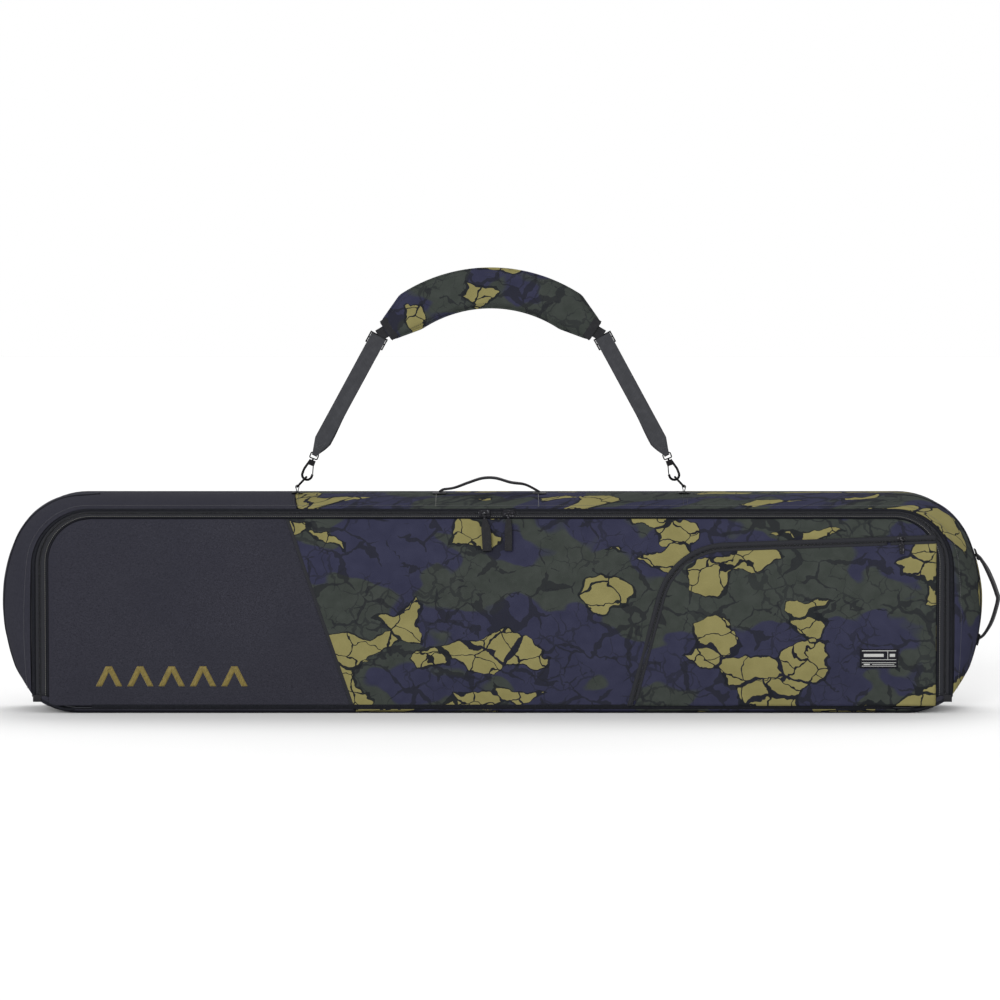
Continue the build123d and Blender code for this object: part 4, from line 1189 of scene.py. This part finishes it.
def wall_details():
    """Seams across the walls, and piping just inside both ends."""
    light, dark = [], []
    for seam in CROSS_SEAMS:
        for shift in ((-3.0 * MM,) if abs(seam) < 0.1 else (-3.4 * MM, 3.4 * MM)):
            line = []
            for i in range(60):
                y = FRONT_Y + 6 * MM + (WALL_BACK_Y - FRONT_Y - 12 * MM) * i / 59
                line.append((seam + shift, y, top_height(y) + 0.35 * MM))
            (light if abs(seam) < 0.1 else dark).append(line)
    stitches("seam_stitches_light", light, pale_thread, "bag", "shell_print", face=(0, 0, 1))
    stitches("seam_stitches_dark", dark, dark_thread, "bag", "shell_print", face=(0, 0, 1))
    y = depth_at(END_PIPING_SHARE)
    for sign, label in ((-1, "nose"), (1, "tail")):
        line = [(sign * x, y - 0.3 * MM, z) for x, z in mixed_side(END_PIPING_SHARE, 0.3 * MM)]
        line += [(sign * (line[-1][0] * sign - 25 * MM), y + 12 * MM, HEIGHT - 1.2 * MM)]
        piping = tube("end_piping_" + label, smooth_line(line[2:], 4 * MM), 1.5 * MM, 8)
        dress(piping, black_edge, "bag", "zip_tape")
    for seam in (BOTTOM_SEAM_X, BOTTOM_END_X):
        line = [(seam, -58 * MM + 128 * MM * i / 20, 1.2 * MM) for i in range(21)]
        tape = strap(f"bottom_seam_{'nose' if seam < 0 else 'tail'}", line, [14 * MM] * 21, 1.0 * MM, (1, 0, 0))
        dress(tape, black_edge, "bag", "zip_tape")
    y = depth_at(EDGE_STITCH_SHARE)
    side = mixed_side(EDGE_STITCH_SHARE)[CORNER_STEPS:]
    top = line_points(side[-1], (-side[-1][0], side[-1][1]), 200)
    edge = [(x, y, z + 0.2 * MM) for x, z in side + top + [(-x, z) for x, z in reversed(side[:-1])]]
    stitches("edge_stitches", [edge], grey_thread, "bag", "shell_print", face=(0, -1, 0.4))


back()
wall_details()


# ---------------------------------------------------------------- handles and pulls
BOX_STITCH = ((-1, -1), (1, -1), (1, 1), (-1, 1), (-1, -1), (1, 1), (1, -1), (-1, 1))


def draped_patch(name, centre, half_x, half_y):
    """A small webbing patch that lies on the curved top."""
    xs = [centre + half_x * (i / 8 - 1) for i in range(17)]
    ys = [half_y * (i / 8 - 1) for i in range(17)]
    rows = [[(x, y, top_height(y) + 0.5 * MM) for x in xs] for y in ys]
    patch = add_grid(name, rows, [[(x, y) for x in xs] for y in ys])
    thicken(patch, 1.3 * MM, 1.0)
    bevel(patch, 0.4 * MM)
    return patch


def end_skin(z):
    """How far out the tail end's cloth reaches at a height."""
    return HALF_LENGTH - END_R + sqrt((END_R + 1.1 * MM) ** 2 - (z - half_height) ** 2)


def handles():
    low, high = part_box("haul_handle")
    middle, half = (low[0] + high[0]) / 2, (high[0] - low[0]) / 2
    axis = HEIGHT + 5.2 * MM
    arch = [(-1.0, -3.4), (-0.93, 0.6), (-0.70, 3.6), (-0.42, 12.0), (-0.14, 19.2), (0.12, 19.4), (0.42, 12.5),
            (0.68, 9.6), (0.84, 4.2), (1.0, -3.4)]
    line = smooth_line([(middle + half * a, 0, axis + r * MM) for a, r in arch])
    span = [abs(p[0] - middle) / half for p in line]
    widths = [26 * MM - 16 * MM * smooth_step(0.52, 0.78, s) for s in span]
    grip = strap("haul_grip", line, widths, 3.8 * MM)
    grip.data.materials.append(black_webbing)
    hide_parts("haul_handle")
    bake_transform(grip)
    edges = [[(p[0], s * (w / 2 - 2 * MM), p[2] + 1.7 * MM) for p, w, q in zip(line, widths, span) if q < 0.5]
             for s in (-1, 1)]
    stitches("haul_stitches", edges, grey_thread, "haul_handle", "webbing", face=(0, 0, 1))
    low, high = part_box("haul_handle_patches")
    for end in (-1, 1):
        centre = middle + end * (high[0] - low[0] - 26 * MM) / 2
        patch = draped_patch(f"haul_patch_{end + 2}", centre, 11 * MM, 13 * MM)
        dress(patch, black_webbing, "bag", "webbing", ("haul_handle_patches",))
        box_line = [(centre + a * 9 * MM, b * 11 * MM, top_height(b * 11 * MM) + 1.3 * MM) for a, b in BOX_STITCH]
        stitches(f"haul_patch_stitches_{end + 2}", [box_line], grey_thread, "bag", "webbing", face=(0, 0, 1))

    low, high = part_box("end_handle")
    y, foot, tall = (low[1] + high[1]) / 2, low[2], high[2] - low[2]
    bow = [(-12.2, 1.0), (-5.0, 0.965), (6.5, 0.84), (17.0, 0.68), (24.5, 0.53), (26.0, 0.47), (20.0, 0.30),
           (13.0, 0.17), (1.5, 0.045), (-9.0, 0.0)]
    line = smooth_line([(HALF_LENGTH - 0.5 * MM + r * MM, y, foot + tall * t) for r, t in bow])
    share = [abs((p[2] - foot) / tall - 0.5) for p in line]
    widths = [26 * MM - 16 * MM * smooth_step(0.30, 0.44, s) for s in share]
    pull = strap("end_grip", line, widths, 4.6 * MM, (0.24, 1, 0))
    pull.data.materials.append(black_webbing)
    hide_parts("end_handle")
    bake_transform(pull)
    low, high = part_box("end_handle_patches")
    for end in (-1, 1):
        z = (low[2] + high[2]) / 2 + end * ((high[2] - low[2]) / 2 - 8 * MM)
        line = smooth_line([(end_skin(z + d * MM), y, z + d * MM) for d in (-9, -3, 3, 9)])
        patch = strap(f"end_patch_{end + 2}", line, [24 * MM] * 99, 1.5 * MM)
        dress(patch, black_webbing, "bag", "webbing", ("end_handle_patches",))
        box_line = [
            (end_skin(z + b * 6 * MM) + 0.9 * MM, y + a * 9 * MM, z + b * 6 * MM) for a, b in BOX_STITCH[:6]
        ]
        stitches(f"end_patch_stitches_{end + 2}", [box_line], grey_thread, "bag", "webbing", face=(1, 0, 0))


def zip_pulls():
    for side, lean, wide in (("left", 4.5 * MM, 7.5 * MM), ("right", 0.0, 4.5 * MM)):
        low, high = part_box("zip_pull_" + side)
        x, y = (low[0] + high[0]) / 2, (low[1] + high[1]) / 2
        top, foot = high[2], low[2]
        for layer, offset in enumerate((-1.35, 1.35)):
            points = [
                (x, y + offset * 0.5 * MM, top), (x + lean * 0.3, y + offset * MM, top - 8 * MM),
                (x + lean * 0.7, y + offset * 1.15 * MM, (top + foot) / 2), (x + lean, y + offset * 0.8 * MM, foot),
            ]
            line = smooth_line(points, 2 * MM)
            widths = [7.5 * MM + wide * smooth_step(0.0, 0.35, i / (len(line) - 1)) for i in range(len(line))]
            piece = strap(f"pull_{side}_{layer}", line, widths, 1.9 * MM, (1, 0, 0))
            dress(piece, black_webbing, "zip_pull_" + side, "webbing", ("zip_pull_" + side,))
        ends = (top - 22 * MM, foot + 5 * MM)
        rows = [[(x + lean * 0.5 + s * 4.2 * MM, y - 2.6 * MM, z) for z in ends] for s in (-1, 1)]
        stitches(f"pull_stitches_{side}", rows, dark_thread, "zip_pull_" + side, "webbing")


handles()
zip_pulls()


# ---------------------------------------------------------------- shoulder strap
STRAP_X = (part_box("pad_front")[0][0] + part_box("pad_front")[1][0]) / 2
PAD_R, PAD_CENTRE_Z = 236.6 * MM, 454.4 * MM
PAD_HALF_W, PAD_END_HALF_W, PAD_HALF_T = 31.5 * MM, 16 * MM, 7.6 * MM
PAD_END, PAD_END_LEAN = Vector((170 * MM, 621 * MM)), radians(31)
WEB_TOP = PAD_END + Vector((14 * MM * cos(PAD_END_LEAN), -14 * MM * sin(PAD_END_LEAN)))
HOOK_TOP = Vector((288.5 * MM, 418 * MM))
PAD_STEPS, PAD_TURN, PAD_ARC_SHARE = 90, radians(33.5), 0.86
LAYER_Y, WEBBING_T = 2.2 * MM, 1.5 * MM


def pad_spine(t):
    """(centre, outward direction, half width) at t from -1 to 1 along the pad."""
    side, a = (1 if t >= 0 else -1), abs(t)
    if a <= PAD_ARC_SHARE:
        angle = side * PAD_TURN * a / PAD_ARC_SHARE
        centre = Vector((PAD_R * sin(angle), PAD_CENTRE_Z + PAD_R * cos(angle)))
        return centre, Vector((sin(angle), cos(angle))), PAD_HALF_W
    f = (a - PAD_ARC_SHARE) / (1 - PAD_ARC_SHARE)
    start = Vector((PAD_R * sin(PAD_TURN), PAD_CENTRE_Z + PAD_R * cos(PAD_TURN)))
    centre = start.lerp(PAD_END, f)
    out = Vector((sin(PAD_TURN), cos(PAD_TURN)))
    half = PAD_HALF_W + (PAD_END_HALF_W - PAD_HALF_W) * f
    return Vector((side * centre[0], centre[1])), Vector((side * out[0], out[1])), half


def pad_point(t, u, y):
    centre, out, half = pad_spine(t)
    p = centre + out * half * u
    return Vector((STRAP_X + p[0], y, p[1]))


def shoulder_pad():
    section = whole_section(
        [(-1.0, 0.0), (-0.97, 0.55), (-0.8, 0.86), (-0.5, 1.0), (0.0, 1.0), (0.5, 1.0), (0.8, 0.86), (0.97, 0.55)]
    )
    rings, along = [], []
    for i in range(PAD_STEPS + 1):
        t = 2 * i / PAD_STEPS - 1
        thin = PAD_HALF_T * 0.62 * (0.62 + 0.38 * smooth_step(1.0, 0.86, abs(t)))
        rings.append([pad_point(t, u * (1.03), v * thin) for u, v in section])
        along.append(t * 0.2)
    pad = loft_rings("shoulder_pad", rings, along)
    swell(pad, 3.0 * MM)
    for v in pad.data.vertices:
        x, y, z = v.co
        folds = 0.7 * MM * fold_noise(x, y, z, 26, 41.0) + 0.35 * MM * fold_noise(x, y, z, 70, 43.0)
        v.co[1] += folds if y > 0 else -folds
    subdivide(pad)
    dress(pad, printed_pad, "strap", "padding", ("pad_front", "pad_foam", "pad_back"))
    edge = [pad_point(2 * i / PAD_STEPS - 1, 1.0, 0) for i in range(PAD_STEPS + 1)]
    edge += [pad_point(1 - 2 * i / PAD_STEPS, -1.0, 0) for i in range(PAD_STEPS + 1)]
    seam = tube("pad_binding", edge, 2.1 * MM, 8, closed=True)
    dress(seam, printed_pad, "strap", "padding")
    marks = [1.86 * i / PAD_STEPS - 0.93 for i in range(PAD_STEPS + 1)]
    rows = [[pad_point(t, s, -PAD_HALF_T * 0.86) for t in marks] for s in (-0.8, 0.8)]
    stitches("pad_stitches", rows, dark_thread, "strap", "padding")
    for side in (-1, 1):
        top, foot = (pad_point(side * 0.985, u, -3.4 * MM) for u in (1.05, -1.05))
        line = [top.lerp(foot, i / 12) + Vector((0, -0.8 * MM * sin(pi * i / 12), 0)) for i in range(13)]
        across = (side * cos(PAD_END_LEAN), 0, -sin(PAD_END_LEAN))
        cuff = strap(f"pad_cuff_{side + 2}", line, [13 * MM] * 13, 1.6 * MM, across)
        dress(cuff, black_webbing, "strap", "webbing")


def swell(obj, cap):
    """Blows the piece up a little with cloth simulation, then keeps the result."""
    remesh = obj.modifiers.new("voxels", "REMESH")
    remesh.mode = "VOXEL"
    remesh.voxel_size = 3.4 * MM
    bpy.context.view_layer.objects.active = obj
    obj.select_set(True)
    bpy.ops.object.modifier_apply(modifier=remesh.name)
    rest = [v.co.copy() for v in obj.data.vertices]
    cloth = obj.modifiers.new("cloth", "CLOTH")
    cloth.settings.use_pressure = True
    cloth.settings.uniform_pressure_force = 4
    cloth.settings.effector_weights.gravity = 0
    scene = bpy.context.scene
    for step in range(1, 21):
        scene.frame_set(step)
    bpy.ops.object.modifier_apply(modifier=cloth.name)
    scene.frame_set(1)
    for v, start in zip(obj.data.vertices, rest):
        swollen = min(max(v.co[1] - start[1], -cap), cap)
        v.co = start + Vector((0, swollen, 0))
    obj.select_set(False)
    for polygon in obj.data.polygons:
        polygon.use_smooth = True


EYE_BEND = ((-4, -2.2), (-1, -2.6), (0.6, -1.6), (1.2, 0), (0.6, 1.6), (-1, 2.6), (-4, 2.2))
NARROWING = 26 * MM


def strap_webbing():
    """Two layers of webbing on each side; they narrow over their last stretch to the hook's eye."""
    for side, name in ((-1, "left"), (1, "right")):
        a, b, pad_end = (Vector((side * p[0] + STRAP_X, 0, p[1])) for p in (WEB_TOP, HOOK_TOP, PAD_END))
        run = (b - a).length
        along = (b - a).normalized()
        across = along.cross(Vector((0, 1, 0)))
        out = across * (1 if across[0] * side > 0 else -1)
        for layer, y, drift in ((0, -LAYER_Y, 0.0), (1, LAYER_Y, -2.2 * MM)):
            line, widths = [], []
            for i in range(61):
                t = i / 60
                free = smooth_step(0.62, 0.85, t) * smooth_step(1.0, 0.9, t)
                sway = 1.4 * MM * free * (1 if layer else -1)
                pinch = smooth_step(1.0, 0.85, t)
                p = a + along * run * (0.008 + 0.99 * t) + out * (drift * free)
                line.append(p + Vector((0, y * (0.75 + 0.25 * pinch) + sway, 0)))
                widths.append(9 * MM + 17.2 * MM * min(1.0, max(0.0, run * (1 - t) / NARROWING)))
            piece = strap(f"webbing_{name}_{layer}", line, widths, WEBBING_T, tuple(across))
            dress(piece, webbing, "strap", "webbing", ("strap_webbing_" + name,))
        eye = [b + along * d * MM + Vector((0, y * MM, 0)) for d, y in EYE_BEND]
        loop = strap(f"webbing_eye_{name}", smooth_line(eye, 0.6 * MM), [9 * MM] * 199, WEBBING_T, tuple(across))
        dress(loop, webbing, "strap", "webbing")
        front = Vector((0, -LAYER_Y - 1.7 * MM, 0))
        box_line = [
            b - along * (12 + 16 * c) * MM + across * s * (3.5 + 4.5 * c) * MM + front
            for c, s in ((0, -1), (0, 1), (1, 1), (1, -1), (0, -1), (1, 1))
        ]
        stitches(f"webbing_stitches_{name}", [box_line], grey_thread, "strap", "webbing")
        tab = [pad_end.lerp(a, t) + Vector((0, 0.6 * MM * sin(3 * t), 0)) for t in (-0.5, 0, 0.4, 0.8, 1.15)]
        joined = strap(f"pad_tab_{name}", smooth_line(tab, 1 * MM), [20 * MM] * 99, WEBBING_T,
                       (side * sin(PAD_END_LEAN), 0, cos(PAD_END_LEAN)))
        dress(joined, black_webbing, "strap", "webbing", ("pad_end_tabs",))


TAB_RISE = [(-9, 0), (-4, 0.3), (-1.2, 2.5)]
TAB_TURN = [radians(d) for d in (160, 125, 90, 55, 20)]


def ring_tabs():
    """Webbing tabs that hold the rings: sewn to the bag, looped round the ring's bar."""
    low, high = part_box("strap_tab_loops")
    axis_z = high[2] - 3.2 * MM
    for side, name in ((-1, "left"), (1, "right")):
        x = side * ((high[0] - low[0]) / 2 - 3.2 * MM) + (high[0] + low[0]) / 2
        foot = HEIGHT + 1.0 * MM
        loop = [(x + d * MM, 0, foot + h * MM) for d, h in TAB_RISE] + [(x - 2.7 * MM, 0, axis_z - 1 * MM)]
        loop += [(x + 2.75 * MM * cos(a), 0, axis_z + 2.75 * MM * sin(a)) for a in TAB_TURN]
        loop += [(x + 2.7 * MM, 0, axis_z - 1 * MM)] + [(x - d * MM, 0, foot + h * MM) for d, h in TAB_RISE[::-1]]
        line = smooth_line(loop, 0.8 * MM)
        widths = [7 * MM + 19 * MM * smooth_step(3.0 * MM, 0.8 * MM, p[2] - foot) for p in line]
        tab = strap(f"ring_tab_{name}", line, widths, 1.2 * MM)
        tab.data.materials.append(black_webbing)
        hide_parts("strap_tab_loops", "strap_tab_feet")
        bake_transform(tab)


shoulder_pad()
strap_webbing()
ring_tabs()


# ---------------------------------------------------------------- hard parts kept from the frame
def hard_parts():
    for name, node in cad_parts.items():
        if node.hide_render:
            continue
        if name.startswith(("zip_slider", "pocket_slider", "pocket_pull", "zip_pull_eye")):
            material = bright_metal
        elif name.startswith("strap_buckle"):
            material = plastic
        else:
            material = metal
        node.data.materials.clear()
        node.data.materials.append(material)
        bevel(node, 0.35 * MM)


hard_parts()
